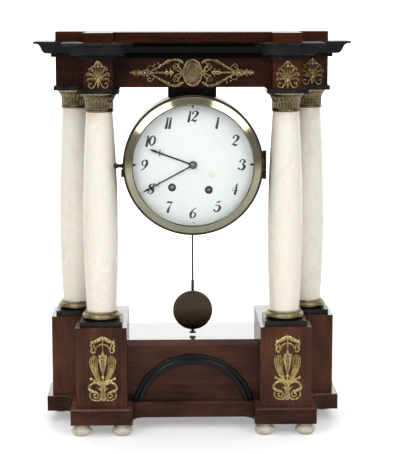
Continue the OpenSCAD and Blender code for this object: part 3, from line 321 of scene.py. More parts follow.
def makeWood(name, tones, grainWay, gloss, shine=0.1, edgeHighlightAt=None, coat=0.8):
    # the coat is for faces that look up, and a pale band along a top edge at the given height is a painted
    # highlight
    material, tree, shader, place = newMaterial(name)
    dark, mid, light = woodTones[tones]
    turned = addStretch(tree, place, (1, 1, 1), woodSet[grainWay])
    grain = addGroup(tree, woodGroup, {"Place": turned})
    marks = addMarks(tree, place, 0.6)
    colour = addMix(tree, grain["Figure"], dark, mid)
    colour = addTint(tree, colour, grain["Glow"], 0.5, light)
    colour = addTint(tree, colour, grain["Streak"], 0.34, light)
    colour = addTint(tree, colour, grain["Pores"], 0.3, dark)
    colour = addTint(tree, colour, marks["Blotch"], 0.45, dark)
    # painted highlight: a pale band just under the top edge, fainter in the middle
    if edgeHighlightAt is not None:
        parts = splitPlace(tree, place)
        wearAndHighlight = addRange(tree, parts["Z"], edgeHighlightAt - woodSet["edgeHighlightFrom"], edgeHighlightAt - woodSet["edgeHighlightTo"])
        across = addMath(tree, "ABSOLUTE", parts["X"])
        wearAndHighlight = addMath(tree, "MULTIPLY", wearAndHighlight, addRange(tree, across, *woodSet["middle"], 0.2, 0.85))
        wearAndHighlight = addMath(tree, "MULTIPLY", wearAndHighlight, addRange(tree, grain["Glow"], 0.0, 0.6, 0.35, 0.75))
        colour = addMix(tree, wearAndHighlight, colour, woodSet["wearAndHighlight"])
    facing = splitPlace(tree, addNode(tree, "ShaderNodeNewGeometry", {})["Normal"])
    plug(shader, {
        "Base Color": colour, "Specular IOR Level": shine, "Coat Roughness": woodSet["coatRough"],
        "Roughness": addRange(tree, marks["Dust"], 0, 1, gloss, gloss + woodSet["dull"]),
        "Coat Weight": addRange(tree, facing["Z"], 0.5, 0.95, woodSet["sideCoat"], coat),
    })
    addBump(tree, grain["Pores"], 0.06, 0.0002, shader)
    return material


ebonySet = {
    "soot": (0.0045, 0.0045, 0.005), "dustyAndLit": (0.010, 0.010, 0.0105), "shadedMiddle": (0.0012, 0.0012, 0.0013),
    "bare": (0.10, 0.085, 0.07), "fade": 0.015,
}


def makeEbonised(name, shadedHalf=0.0, sheenLift=1.0, shine=0.22):
    # a middle stretch of the given half width is painted near black as painted shade, and the dust colours
    # are lightened by the given factor as a painted sheen
    material, tree, shader, place = newMaterial(name)
    marks = addMarks(tree, place, 0.8)
    parts = splitPlace(tree, place)
    # painted shade: the recessed middle stretch is painted near black
    shadedMiddle = addRange(tree, addMath(tree, "ABSOLUTE", parts["X"]), shadedHalf, shadedHalf - ebonySet["fade"])
    # painted sheen: the soot and dust colours are lightened by the given factor
    soot = tuple(c * sheenLift for c in ebonySet["soot"])
    dustyAndLit = tuple(c * sheenLift for c in ebonySet["dustyAndLit"])
    colour = addMix(tree, marks["Blotch"], soot, dustyAndLit)
    colour = addMix(tree, shadedMiddle, colour, ebonySet["shadedMiddle"])
    edges = addRange(tree, addNode(tree, "ShaderNodeNewGeometry", {})["Pointiness"], 0.56, 0.66)
    colour = addTint(tree, colour, addMath(tree, "MULTIPLY", edges, marks["Blotch"]), 0.6, ebonySet["bare"])
    dull = addRange(tree, marks["Blotch"], 0, 1, 0.2, 0.32)
    rough = addMath(tree, "SUBTRACT", dull, addMath(tree, "MULTIPLY", shadedMiddle, 0.12))
    plug(shader, {"Base Color": colour, "Roughness": rough, "Specular IOR Level": shine})
    return material


def makeAlabaster(name, pale, warm, stainAndShade, stainShadeFrom, stainShadeTo):
    # brown gathers towards one height: a real stain near the top of the columns, and painted shade towards
    # the floor on the feet
    material, tree, shader, place = newMaterial(name)
    cloud = addNoise(tree, addStretch(tree, place, (1, 1, 0.45)), 22, 5, 0.6, 0.8)
    vein = addNoise(tree, addStretch(tree, place, (1, 1, 0.5), (20, 35, 0)), 16, 6, 0.65, 1.8)
    vein = addMath(tree, "ABSOLUTE", addMath(tree, "SUBTRACT", vein, 0.5))
    veins = addRange(tree, vein, 0.0, 0.02, 1, 0)
    spots = addRange(tree, addNoise(tree, place, 95, 3, 0.6), 0.68, 0.76)
    colour = addMix(tree, addRange(tree, cloud, 0.35, 0.7), pale, warm)
    colour = addTint(tree, colour, veins, 0.2, stainAndShade)
    colour = addTint(tree, colour, spots, 0.18, stainAndShade)
    # on the feet this fade is painted shade, darker towards the floor
    height = addRange(tree, splitPlace(tree, place)["Z"], stainShadeFrom, stainShadeTo)
    runs = addNoise(tree, addStretch(tree, place, (1, 1, 0.25)), 60, 5, 0.65)
    stainedShaded = addMath(tree, "MULTIPLY", height, addRange(tree, runs, 0.4, 0.65, 0.1, 0.7))
    colour = addMix(tree, stainedShaded, colour, stainAndShade)
    plug(shader, {
        "Base Color": colour, "Roughness": addRange(tree, cloud, 0.3, 0.7, 0.2, 0.32),
        "Subsurface Weight": 0.2, "Subsurface Radius": (0.012, 0.008, 0.005), "Subsurface Scale": 1.0,
    })
    addBump(tree, cloud, 0.03, 0.001, shader)
    return material


def makeMetal(name, bright, mid, tarnishAndShade, rough, amount):
    material, tree, shader, place = newMaterial(name)
    marks = addMarks(tree, place, amount)
    tone = addNoise(tree, place, 90, 5, 0.6)
    colour = addMix(tree, addRange(tree, tone, 0.35, 0.65), mid, bright)
    colour = addMix(tree, marks["Blotch"], colour, tarnishAndShade)
    dull = addRange(tree, marks["Dust"], 0, 1, rough, rough + 0.2)
    plug(shader, {"Base Color": colour, "Metallic": 1.0, "Roughness": dull})
    addBump(tree, marks["Dust"], 0.06, 0.0003, shader)
    return material


def makeBob(name, dustyAndLit, mid, dark):
    # painted light: the upper half is painted paler and the lower half darker, as lit from above, over dark
    # bronze
    material, tree, shader, place = newMaterial(name)
    marks = addMarks(tree, place, 0.5)
    height = splitPlace(tree, place)["Z"]
    level = middle("pendulum_bob")[2]
    # painted light: darker below the bob's middle, paler above it
    colour = addMix(tree, addRange(tree, height, level - 0.014, level + 0.004), dark, mid)
    colour = addMix(tree, addRange(tree, height, level - 0.002, level + 0.018), colour, dustyAndLit)
    colour = addTint(tree, colour, marks["Blotch"], 0.3, dark)
    dull = addRange(tree, marks["Dust"], 0, 1, 0.3, 0.45)
    plug(shader, {"Base Color": colour, "Metallic": 1.0, "Roughness": dull})
    return material


def makeGilding(name, bright, mid, tarnishAndShade, rough, chased=0.5, relief=0.5):
    # raised edges are rubbed bright and hollows hold dark patina
    material, tree, shader, place = newMaterial(name)
    marks = addMarks(tree, place, 0.8)
    raised = addRange(tree, addNode(tree, "ShaderNodeNewGeometry", {})["Pointiness"], 0.44, 0.58)
    fine = addNoise(tree, place, 900, 3, 0.6)
    chasing = addNoise(tree, place, 520, 2, 0.5, 0.6)
    wearAndHighlight = addMath(tree, "MULTIPLY", raised, addRange(tree, fine, 0.25, 0.6, 0.55, 1.0))
    colour = addMix(tree, wearAndHighlight, tarnishAndShade, mid)
    colour = addMix(tree, addRange(tree, wearAndHighlight, 0.45, 0.9), colour, bright)
    cut = addRange(tree, chasing, 0.40, 0.52, chased, 0.0)
    colour = addMix(tree, cut, colour, tarnishAndShade)
    colour = addTint(tree, colour, marks["Blotch"], 0.5, tarnishAndShade)
    dull = addRange(tree, marks["Dust"], 0, 1, rough, rough + 0.25)
    plug(shader, {"Base Color": colour, "Metallic": 1.0, "Roughness": dull})
    addBump(tree, chasing, relief, 0.0006, shader)
    return material


brassSet = {
    # metres: rim and lip are radii, edge and lines widths, low is down from the dial's middle; low and the
    # grey colour set a painted shade on the lower half
    "rim": 0.0863, "lip": 0.0780, "edge": 0.0004, "lines": 0.0013, "low": (0.005, 0.055),
    "tarnishAndShade": (0.19, 0.20, 0.17),
}


def makeBezelBrass(name, bright, mid, dark):
    # fine turned lines round the dial's axis, a lower half painted duller and greyer as painted shade, and a
    # dark outer rim and inner lip
    material, tree, shader, place = newMaterial(name)
    level = middle("dial")[2]
    marks = addMarks(tree, place, 0.6)
    away = addVectorMath(tree, "SUBTRACT", place, (0, 0, level))["Vector"]
    flat = addStretch(tree, away, (1, 0, 1))
    radius = addVectorMath(tree, "LENGTH", flat)["Value"]
    lines = addMath(tree, "SINE", addMath(tree, "MULTIPLY", radius, 2 * math.pi / brassSet["lines"]))
    tone = addNoise(tree, place, 40, 4, 0.5)
    colour = addMix(tree, addRange(tree, tone, 0.35, 0.65), mid, bright)
    colour = addTint(tree, colour, addRange(tree, lines, 0.2, 1), 0.3, dark)
    colour = addTint(tree, colour, marks["Blotch"], 0.2, dark)
    # painted shade: the lower half is mixed towards a dull grey, dimming its reflection
    fadeFrom, fadeTo = brassSet["low"]
    low = addRange(tree, splitPlace(tree, place)["Z"], level - fadeFrom, level - fadeTo, 0, 0.62)
    colour = addMix(tree, low, colour, brassSet["tarnishAndShade"])
    rim = addRange(tree, radius, brassSet["rim"], brassSet["rim"] + brassSet["edge"])
    lip = addRange(tree, radius, brassSet["lip"], brassSet["lip"] - brassSet["edge"], 0, 0.6)
    colour = addMix(tree, addMath(tree, "MAXIMUM", rim, lip), colour, dark)
    dull = addRange(tree, marks["Blotch"], 0, 1, 0.1, 0.16)
    rough = addMath(tree, "ADD", dull, addMath(tree, "MULTIPLY", rim, 0.3))
    plug(shader, {"Base Color": colour, "Metallic": 1.0, "Roughness": rough})
    addBump(tree, lines, 0.02, 0.0002, shader)
    return material


def makePlain(name, colour, rough, shine=0.5):
    material, tree, shader, place = newMaterial(name)
    tone = addNoise(tree, place, 300, 3, 0.6)
    pale = tuple(min(1, c * 2.2 + 0.01) for c in colour)
    mixed = addMix(tree, addRange(tree, tone, 0.5, 0.8), colour, pale)
    plug(shader, {"Base Color": mixed, "Roughness": rough, "Specular IOR Level": shine})
    return material


stainSet = {"right": 0.0239, "down": 0.0124, "radius": 0.0052}   # metres from the hands


def makeEnamel(name):
    material, tree, shader, place = newMaterial(name)
    centre = middle("dial")
    spot = (centre[0] + stainSet["right"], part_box("dial")[0][1], centre[2] - stainSet["down"])
    away = addVectorMath(tree, "DISTANCE", place, spot)["Value"]
    stainAndShade = addRange(tree, away, stainSet["radius"] * 0.75, stainSet["radius"], 0.55, 0.0)
    marks = addMarks(tree, place, 0.5)
    cloud = addNoise(tree, place, 30, 4, 0.6)
    colour = addMix(tree, addRange(tree, cloud, 0.35, 0.7), (0.70, 0.75, 0.725), (0.665, 0.715, 0.69))
    colour = addTint(tree, colour, marks["Dust"], 0.12, (0.45, 0.44, 0.40))
    colour = addMix(tree, stainAndShade, colour, (0.62, 0.58, 0.43))
    plug(shader, {"Base Color": colour, "Roughness": addRange(tree, cloud, 0.3, 0.7, 0.10, 0.2)})
    return material


def makeGlass(name):
    material, tree, shader, place = newMaterial(name)
    smear = addNoise(tree, place, 24, 4, 0.6)
    rough = addRange(tree, smear, 0.4, 0.8, 0.0, 0.04)
    plug(shader, {"Base Color": (1, 1, 1), "Roughness": rough, "Transmission Weight": 1.0, "IOR": 1.01})
    return material


finishes = {
    "uprightWood": makeWood("uprightMahogany", "leftBlock", "up", 0.24),
    "rightWood": makeWood("rightMahogany", "rightBlock", "up", 0.24),
    "levelWood": makeWood("levelMahogany", "base", "level", 0.24),
    "deckWood": makeWood("deckMahogany", "base", "level", 0.03, 0.3, None, 1.0),
    # the plinth gets a painted highlight along its top edge
    "plinthWood": makeWood("plinthMahogany", "base", "level", 0.24, 0.1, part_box("plinth")[1][2]),
    "darkWood": makeWood("friezeMahogany", "frieze", "level", 0.26),
    "redWood": makeWood("parapetMahogany", "parapet", "level", 0.26, 0.1, None, 0.1),
    "ebonised": makeEbonised("ebonisedWood"),
    # the cornice: its middle is painted black as painted shade, and its ends are lightened as a painted sheen
    "corniceBlack": makeEbonised("ebonisedCornice", 0.098, 2.4, 0.1),
    "rod": makePlain("rodGrey", (0.036, 0.033, 0.029), 0.7, 0.0),
    "bobBronze": makeBob("bobBronze", (0.115, 0.088, 0.058), (0.060, 0.042, 0.024), (0.020, 0.0125, 0.007)),
    "alabaster": makeAlabaster(
        "creamAlabaster", (0.96, 0.90, 0.78), (0.97, 0.93, 0.83), (0.74, 0.50, 0.28), 0.400, 0.422),
    # the feet's stone is a darker copy of the columns': painted shade under the plinth, browner towards the
    # floor
    "footStone": makeAlabaster(
        "footAlabaster", (0.62, 0.56, 0.46), (0.76, 0.71, 0.60), (0.36, 0.27, 0.17), 0.006, -0.002),
    "gilt": makeGilding("agedGilding", (1.0, 0.84, 0.48), (0.68, 0.50, 0.22), (0.12, 0.078, 0.029), 0.26),
    "friezeGilt": makeGilding(
        "friezeGilding", (0.98, 0.80, 0.47), (0.46, 0.355, 0.175), (0.06, 0.041, 0.016), 0.24),
    "capitalGilt": makeGilding(
        "darkGilding", (0.56, 0.46, 0.29), (0.27, 0.215, 0.12), (0.06, 0.045, 0.02), 0.3),
    "ringGilt": makeGilding(
        "ringGilding", (0.62, 0.52, 0.35), (0.38, 0.31, 0.18), (0.16, 0.12, 0.06), 0.36, 0.06, 0.0),
    "field": makeMetal(
        "medallionGilding", (0.30, 0.24, 0.14), (0.15, 0.115, 0.062), (0.06, 0.044, 0.022), 0.34, 0.9),
    "dialPaint": makePlain("numeralBlack", (0.012, 0.013, 0.016), 0.4),
    "bezelBrass": makeBezelBrass("oliveBrass", (0.50, 0.47, 0.33), (0.42, 0.385, 0.25), (0.055, 0.04, 0.026)),
    "bronze": makeMetal(
        "darkBronze", (0.085, 0.058, 0.032), (0.052, 0.035, 0.019), (0.024, 0.016, 0.009), 0.24, 0.5),
    "brass": makeMetal(
        "movementBrass", (0.75, 0.58, 0.28), (0.62, 0.46, 0.20), (0.35, 0.24, 0.10), 0.26, 0.35),
    "steel": makeMetal("greySteel", (0.36, 0.36, 0.37), (0.26, 0.26, 0.27), (0.12, 0.11, 0.10), 0.3, 0.4),
    "collet": makeMetal(
        "darkCollet", (0.20, 0.19, 0.17), (0.13, 0.125, 0.115), (0.05, 0.045, 0.04), 0.25, 0.4),
    "blackSteel": makeMetal(
        "bluedSteel", (0.03, 0.03, 0.035), (0.02, 0.02, 0.024), (0.045, 0.035, 0.03), 0.4, 0.4),
    "enamel": makeEnamel("whiteEnamel"),
    "glass": makeGlass("clearGlass"),
}

corners = ("front_left", "front_right", "rear_left", "rear_right")

nodeFinish = {
    "uprightWood": ["pedestal_left"],
    "rightWood": ["pedestal_right"],
    "levelWood": ["base_panel", "back_board"],
    "deckWood": ["deck"],
    "plinthWood": ["plinth"],
    "darkWood": ["frieze"],
    "redWood": ["parapet"],
    "ebonised": ["arch_moulding", "column_base_plates", "abacus_plates", "hanging_block"],
    "corniceBlack": ["cornice"],
    "rod": ["pendulum_rod"],
    "bobBronze": ["pendulum_bob"],
    "footStone": ["feet"],
    "alabaster": ["column_" + corner for corner in corners],
    "gilt": ["pedestal_mounts"],
    "friezeGilt": ["frieze_palmettes", "frieze_mount"],
    "capitalGilt": ["capital_" + corner for corner in corners],
    "ringGilt": ["column_base_rings"],
    "bronze": ["drum", "rear_cover", "bezel_knob", "rating_nut"],
    "brass": ["front_plate", "back_plate", "plate_pillars", "going_barrel", "strike_barrel", "second_wheel",
              "centre_wheel", "third_wheel", "escape_wheel", "minute_wheel", "hour_wheel", "suspension_cock",
              "pin_wheel", "bell"],
    "steel": ["column_rods", "hinge_pin", "going_arbor", "strike_arbor", "anchor", "cannon_pinion", "hammer"],
    "blackSteel": ["hour_hand", "minute_hand", "bezel_catch"],
    "enamel": ["dial"],
    "glass": ["glass"],
}


def dressNodes():
    for finish, names in nodeFinish.items():
        for name in names:
            piece = nodes[name]
            piece.data.materials.clear()
            piece.data.materials.append(finishes[finish])
    print("CAD nodes finished")


# relief shapes: strokes, domes and rings in millimetres on a flat face, x to the right, z up

def newShape(plump=1.0):
    # plump widens every stroke that is laid on the shape
    return {"verts": [], "faces": [], "plump": plump}


def addShape(whole, verts, faces):
    start = len(whole["verts"])
    whole["verts"] += verts
    whole["faces"] += [tuple(start + i for i in face) for face in faces]


def turns(count):
    return [2 * math.pi * i / count for i in range(count)]


def gridFaces(rows, across, ring=False, wrap=True):
    # quads between rows of points; ring joins the last row to the first, wrap a row's last point to its first
    faces = []
    for i in range(rows if ring else rows - 1):
        a = i * across
        b = (i + 1) % rows * across
        for j in range(across if wrap else across - 1):
            k = (j + 1) % across
            faces.append((a + j, a + k, b + k, b + j))
    return faces


def domeFaces(rings, around):
    # rings that end in one point at the top
    low = (rings - 1) * around
    return gridFaces(rings, around) + [(low + j, low + (j + 1) % around, low + around) for j in range(around)]


def smoothPath(points, steps=6):
    # a smooth curve through the points
    ends = [points[0]] + list(points) + [points[-1]]
    path = []
    for i in range(len(points) - 1):
        a, b, c, d = ends[i:i + 4]
        for s in range(steps):
            t = s / steps
            path.append(tuple(
                0.5 * (2 * b[k] + (c[k] - a[k]) * t + (2 * a[k] - 5 * b[k] + 4 * c[k] - d[k]) * t * t
                       + (3 * b[k] - a[k] - 3 * c[k] + d[k]) * t * t * t)
                for k in (0, 1)))
    return path + [points[-1]]


def between(values, t):
    # a value along a list, t from 0 to 1
    place = t * (len(values) - 1)
    low = min(int(place), len(values) - 2)
    return values[low] + (values[low + 1] - values[low]) * (place - low)


strokeSet = {
    "caps": [(1.0, 0.02), (0.8, 0.6), (0.45, 0.9)],   # shares of the reach and width of its round ends
    "thin": 0.35,                                     # share of the height where it is thinnest
    "groove": 0.35,                                   # share of the half width
}


def addStroke(shape, points, widths, height, groove=0.0, across=8):
    path = [Vector(p) for p in smoothPath(points)]
    widths = [width * shape["plump"] for width in widths]
    last = len(path) - 1
    spots = []
    for i, spot in enumerate(path):
        along = (path[min(i + 1, last)] - path[max(i - 1, 0)]).normalized()
        spots.append((spot, along, between(widths, i / last)))
    head = []
    tail = []
    for reach, share in strokeSet["caps"]:
        for end, (spot, along, width), way in ((head, spots[0], -1), (tail, spots[-1], 1)):
            end.append((spot + along * width / 2 * reach * way, along, width * share))
    rows = head + spots + tail[::-1]
    verts = []
    for spot, along, width in rows:
        side = Vector((along.y, -along.x))
        lift = height * min(1.0, strokeSet["thin"] + (1 - strokeSet["thin"]) * width / max(widths))
        for j in range(across + 1):
            s = 2 * j / across - 1
            rise = lift * (1 - s * s) ** 0.5 - groove * lift * math.exp(-(s / strokeSet["groove"]) ** 2)
            place = spot + side * (s * width / 2)
            verts.append((place.x, -rise, place.y))
    addShape(shape, verts, gridFaces(len(rows), across + 1))


def addStrokes(shape, strokes):
    for stroke in strokes:
        addStroke(shape, *stroke)


def addDome(shape, x, z, r, height, rings=5, around=14):
    verts = []
    for i in range(rings):
        a = math.pi / 2 * i / rings
        for b in turns(around):
            verts.append((x + r * math.cos(a) * math.cos(b), -height * math.sin(a),
                          z + r * math.cos(a) * math.sin(b)))
    base = tuple(reversed(range(around)))
    addShape(shape, verts + [(x, -height, z)], domeFaces(rings, around) + [base])


def addHoop(shape, x, z, halfWide, halfTall, width, height, around=40, across=6):
    # an oval ring with a round top
    verts = []
    for a in turns(around):
        for j in range(across + 1):
            s = 2 * j / across - 1
            out = s * width / 2
            verts.append((x + (halfWide + out) * math.cos(a), -height * (1 - s * s) ** 0.5,
                          z + (halfTall + out) * math.sin(a)))
    addShape(shape, verts, gridFaces(around, across + 1, ring=True))


def mirrorShape(shape, across=-1, up=1):
    # adds a copy turned over in x, in z or in both
    order = 1 if across == up else -1
    verts = [(across * x, y, up * z) for x, y, z in shape["verts"]]
    addShape(shape, verts, [face[::order] for face in shape["faces"]])


def joinShapes(*shapes):
    whole = newShape()
    for shape in shapes:
        addShape(whole, shape["verts"], shape["faces"])
    return whole


def makePiece(name, shape, places, finish, body, covers=(), smooth=40):
    # one object that holds the shape at each place, given in metres
    whole = newShape()
    for place in places:
        verts = [tuple(p + c / 1000 for p, c in zip(place, vert)) for vert in shape["verts"]]
        addShape(whole, verts, shape["faces"])
    mesh = bpy.data.meshes.new(name)
    mesh.from_pydata(whole["verts"], [], whole["faces"])
    piece = bpy.data.objects.new(name, mesh)
    bpy.context.collection.objects.link(piece)
    bpy.ops.object.select_all(action="DESELECT")
    piece.select_set(True)
    bpy.context.view_layer.objects.active = piece
    bpy.ops.object.mode_set(mode="EDIT")
    bpy.ops.mesh.select_all(action="SELECT")
    bpy.ops.mesh.remove_doubles(threshold=0.000001)
    bpy.ops.mesh.normals_make_consistent(inside=False)
    bpy.ops.object.mode_set(mode="OBJECT")
    bpy.ops.object.shade_smooth_by_angle(angle=math.radians(smooth))
    mesh.materials.append(finishes[finish])
    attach(piece, body)
    if covers:
        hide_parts(*covers)
    return piece


# pedestal mounts

mountSet = {
    "plump": 1.3, "wide": 0.94, "tall": 0.96, "reach": 0.0178, "lift": 0.0018, "shift": 0.002,
    # the lower part sinks and spreads, from one height to the other
    "sink": 5.2, "spread": 0.055, "sinkFrom": 12, "sinkTo": -30,
}
mountStrokes = [
    # points, widths and height, then a groove's depth and the steps across where they are given
    ([(0, 40.2), (5, 37.4), (10, 34.8), (15.4, 33)], [3.4, 4.6, 4.2, 2.8], 2.4),
    ([(14.8, 32.6), (15.8, 35), (15.6, 38)], [2.6, 1.8, 0.8], 2.2),
    ([(15, 33), (16, 29.4), (14.8, 26), (15.6, 22.6), (13.4, 19.6), (10.6, 20.6), (10.6, 23.2)],
     [3.2, 2.8, 3.4, 2.8, 2.7, 2.2, 1.4], 2.4),
    ([(12.6, 30.8), (11.2, 28.2), (10.6, 25), (8.6, 23.4)], [1.2, 2.0, 1.6, 1.0], 2.0),
    ([(0, 31.2), (4, 30.4), (7.4, 28), (9.6, 25)], [2.2, 1.9, 1.8, 1.4], 2.2),
    ([(3, -17.6), (8, -16), (12, -14.4), (14.4, -13.4)], [3.4, 2.6, 2.0, 1.6], 2.4),
    ([(2.2, -23), (4.6, -19.6), (9.6, -17.6), (15, -19.2), (17.9, -23.2), (16.2, -27), (11.6, -29.2),
      (7.6, -30.6), (5.8, -33.8), (7.6, -37), (11, -36.6), (11.9, -33.8), (9.8, -32.6)],
     [2.0, 2.4, 2.6, 2.6, 3.2, 3.8, 3.4, 2.6, 2.0, 1.9, 1.8, 1.7, 1.9], 2.6),
    ([(15.6, -29), (17, -33.4), (15.2, -38.4), (10.6, -41), (6, -40.4), (3.6, -38.2)],
     [1.4, 2.0, 2.0, 2.0, 2.2, 2.4], 2.3),
    ([(2.4, -27.4), (4.6, -25), (6.8, -24)], [2.2, 1.6, 0.6], 2.2),
    ([(2.0, -18), (1.7, -27), (2.4, -34), (5.6, -41)], [1.4, 1.4, 1.8, 2.6], 3.0),
]
mountCore = [
    ([(0, 39), (0, 33), (0, 26)], [2.6, 1.8, 1.6], 2.6),
    ([(0, 26), (0, 22), (0, 18.8)], [0.8, 2.2, 4.4], 2.6),
    ([(0, 12), (0, 8), (0, 2), (0, -4), (0, -9)], [9.6, 9.0, 7.0, 4.0, 1.0], 3.4, 0.4, 10),
    ([(-4.8, 15.8), (0, 16.4), (4.8, 15.8)], [2.2, 2.4, 2.2], 3.8),
    ([(-4.2, 11.6), (0, 11.0), (4.2, 11.6)], [1.2, 1.3, 1.2], 3.9),
    ([(0, -13), (0, -18)], [1.6, 2.6], 2.6),
    ([(0, -18), (0, -27), (0, -33), (0, -38)], [4.2, 4.6, 5.6, 7.6], 2.5, 0.2, 10),
]
mountFeathers = [
    [(2.6, -18.2), (8.6, -11), (14.2, -1), (16.6, 8), (15.8, 13.4)],
    [(3.0, -17.4), (8.2, -9.6), (12.4, 0), (14.0, 9), (13.2, 15.2)],
    [(3.2, -16.6), (7.8, -8.4), (10.6, 1), (11.4, 9.6), (11.0, 16.0)],
    [(3.4, -15.8), (7.2, -7.4), (8.8, 1.6), (9.0, 9.6), (9.0, 14.6)],
]


def makePedestalMounts():
    half = newShape(mountSet["plump"])
    addStrokes(half, mountStrokes)
    for i in range(6):
        addDome(half, 1.6 + 2.5 * i, 39.2 - 1.2 * i, 1.3, 3.2)
        addDome(half, 2.6 + 2.4 * i, 37.2 - 0.85 * i, 1.1, 2.9)
    for i in range(5):
        addDome(half, 15.4 - 0.25 * (i % 2), 32 - 2.4 * i, 1.2, 3.0)
    for i, feather in enumerate(mountFeathers):
        addStroke(half, feather, [2.4, 3.0, 3.4, 3.2, 1.6], 2.2 + 0.35 * i, 0.55)
    for i in range(4):
        addStroke(half, [(12.6 + 0.9 * i, -4 + 4.2 * i), (14.8 + 0.6 * i, -1.6 + 4.2 * i)], [1.6, 0.6], 3.2)
    addDome(half, 15.8, -12.7, 2.3, 3.6)
    addDome(half, 16.4, -26.4, 2.2, 3.3)
    addDome(half, 13.2, -28.6, 1.9, 3.2)
    mirrorShape(half)
    core = newShape(mountSet["plump"])
    addStrokes(core, mountCore)
    for x in (-2.5, 0, 2.5):
        addStroke(core, [(x, 10), (x * 0.7, 2), (x * 0.25, -6)], [1.5, 1.3, 0.8], 3.9)
    addDome(core, 0, -11, 2.6, 3.8)
    for i in range(4):
        addDome(core, 0, -23 - 4.4 * i, 1.3, 3.6)
    whole = joinShapes(half, core)
    high = mountSet["sinkFrom"]
    for i, (x, y, z) in enumerate(whole["verts"]):
        low = min(1.0, max(0.0, (high - z) / (high - mountSet["sinkTo"])))
        low = low * low * (3 - 2 * low)
        x *= mountSet["wide"] + mountSet["spread"] * low
        whole["verts"][i] = (x, y, (z - mountSet["sink"] * low) * mountSet["tall"])
    low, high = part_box("pedestal_mounts")
    reach = mountSet["reach"]
    height = (low[2] + high[2]) / 2 + mountSet["lift"]
    places = [(low[0] + reach + mountSet["shift"], high[1], height),
              (high[0] - reach + mountSet["shift"], high[1], height)]
    makePiece("pedestalMounts", whole, places, "gilt", "case", ["pedestal_mounts"])
    print("pedestal mounts made")


# palmettes on the frieze

palmetteSet = {"plump": 1.1, "rearInset": 0.0144, "ribWidths": [1.4, 2.2, 2.9, 2.6, 2.0, 1.8, 1.3]}
palmetteRibs = [
    [(0.8, -6.4), (3.8, -0.6), (6.6, 4.4), (9.0, 7.4), (11.4, 6.4), (11.0, 4.2), (9.4, 4.6)],
    [(1.0, -6.8), (5.2, -3.4), (9.2, -0.4), (12.2, 1.2), (14.2, -0.6), (13.2, -2.6), (11.8, -1.9)],
    [(1.2, -7.4), (6.0, -6.6), (10.0, -5.8), (13.0, -6.6), (13.8, -8.8), (12.4, -9.6)],
]
palmetteStrokes = [
    ([(1.0, -7.6), (2.6, -9.6), (4.2, -13.6), (6.8, -17), (10.4, -16.6), (12.0, -13.6), (10.6, -11.2),
      (8.8, -12)],
     [1.6, 2.0, 2.0, 2.2, 2.0, 2.0, 1.9, 1.8], 2.3),
    ([(0.9, -5), (2.0, 1), (3.4, 6.4)], [0.8, 1.5, 1.2], 1.9),
    ([(0, 9.4), (5, 9.2), (8.2, 10)], [2.0, 1.8, 1.3], 2.3),
    ([(1.4, 16.4), (2.8, 13.4), (4.4, 11.4), (6.2, 9.8)], [1.4, 2.2, 2.2, 1.6], 2.4),
]
palmetteCore = [
    ([(0, -8), (0, 0), (0, 8.6)], [2.6, 1.8, 1.6], 2.5),
    ([(0, -10.4), (0, -13.6), (0, -17.6)], [2.0, 3.4, 0.8], 2.6, 0.2),
    ([(0, 11.0), (0, 14.6), (0, 17.2)], [3.4, 3.0, 1.4], 2.6),
]


def makePalmettes():
    half = newShape(palmetteSet["plump"])
    for rib in palmetteRibs:
        addStroke(half, rib, palmetteSet["ribWidths"], 2.2, 0.45)
    addStrokes(half, palmetteStrokes)
    mirrorShape(half)
    core = newShape(palmetteSet["plump"])
    addStrokes(core, palmetteCore)
    addDome(core, 0, -7, 2.5, 2.9)
    whole = joinShapes(half, core)
    height = middle("frieze")[2]
    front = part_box("frieze")[0][1]
    left = middle("column_front_left")
    right = middle("column_front_right")
    rearFront = front + middle("column_rear_right")[1] - right[1]
    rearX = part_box("frieze_palmettes")[1][0] - palmetteSet["rearInset"]
    spots = [(left[0], front, height), (right[0], front, height), (rearX, rearFront, height)]
    makePiece("friezePalmettes", whole, spots, "friezeGilt", "case", ["frieze_palmettes"])
    print("palmettes made")


# centre mount with its bare medallion

centreSet = {
    "plump": 1.2,
    # the bare field: half width, half height, rise at its edge and in its middle
    "fieldWide": 9.6, "fieldTall": 14.1, "fieldEdge": 1.2, "fieldRise": 2.6, "rings": 10, "around": 48,
    # rows of beads on the medallion: count, half width, half height, radius, rise
    "beads": [(52, 12.1, 17.1, 0.9, 3.6), (44, 10.6, 15.4, 0.75, 3.4)],
}
armBeads = [
    # place and radius
    (56, 2.4, 1.6), (58.6, 3.6, 1.7), (62, 3.4, 1.7), (64.8, 2.4, 1.5), (68, 1.8, 1.4),
    (71, 1.6, 1.3), (74, 2.4, 1.6), (77.2, 1.4, 1.4),
]
armStrokes = [
    ([(13, 13), (17.5, 16.2), (24, 17.0), (31, 15.0), (38, 10.6), (45, 6.2), (53, 2.4)],
     [3.0, 3.6, 3.4, 3.6, 3.2, 2.4, 2.0], 2.2),
    ([(13.4, 2.2), (16, 5.4), (18.4, 10.4), (16.4, 13)], [2.0, 2.2, 2.0, 1.4], 2.4),
    ([(15, 0.6), (19.4, 2.6), (23.4, 4.4)], [2.4, 2.0, 1.2], 2.4),
    ([(25, 0.6), (27.6, 2.8), (28.6, 5.6)], [2.0, 1.8, 0.8], 2.2),
    ([(32, 0.6), (33.6, 2.6), (33.4, 4.8)], [1.6, 1.4, 0.6], 2.0),
    ([(66, 1.2), (69, 3.4), (70.6, 5.4)], [1.6, 1.6, 0.7], 2.2),
    ([(57, 1.4), (57.4, 5), (59.6, 6.8)], [1.4, 1.3, 0.7], 2.2),
]
armSpine = [
    ([(53, 0), (44, 0), (36, 0)], [2.2, 2.6, 3.4], 2.2),
    ([(36, 0), (31, 0), (25, 0)], [2.4, 5.4, 1.6], 3.0, 0.2),
    ([(53, 0), (66, 0), (79, 0)], [3.0, 3.4, 1.6], 2.4),
]
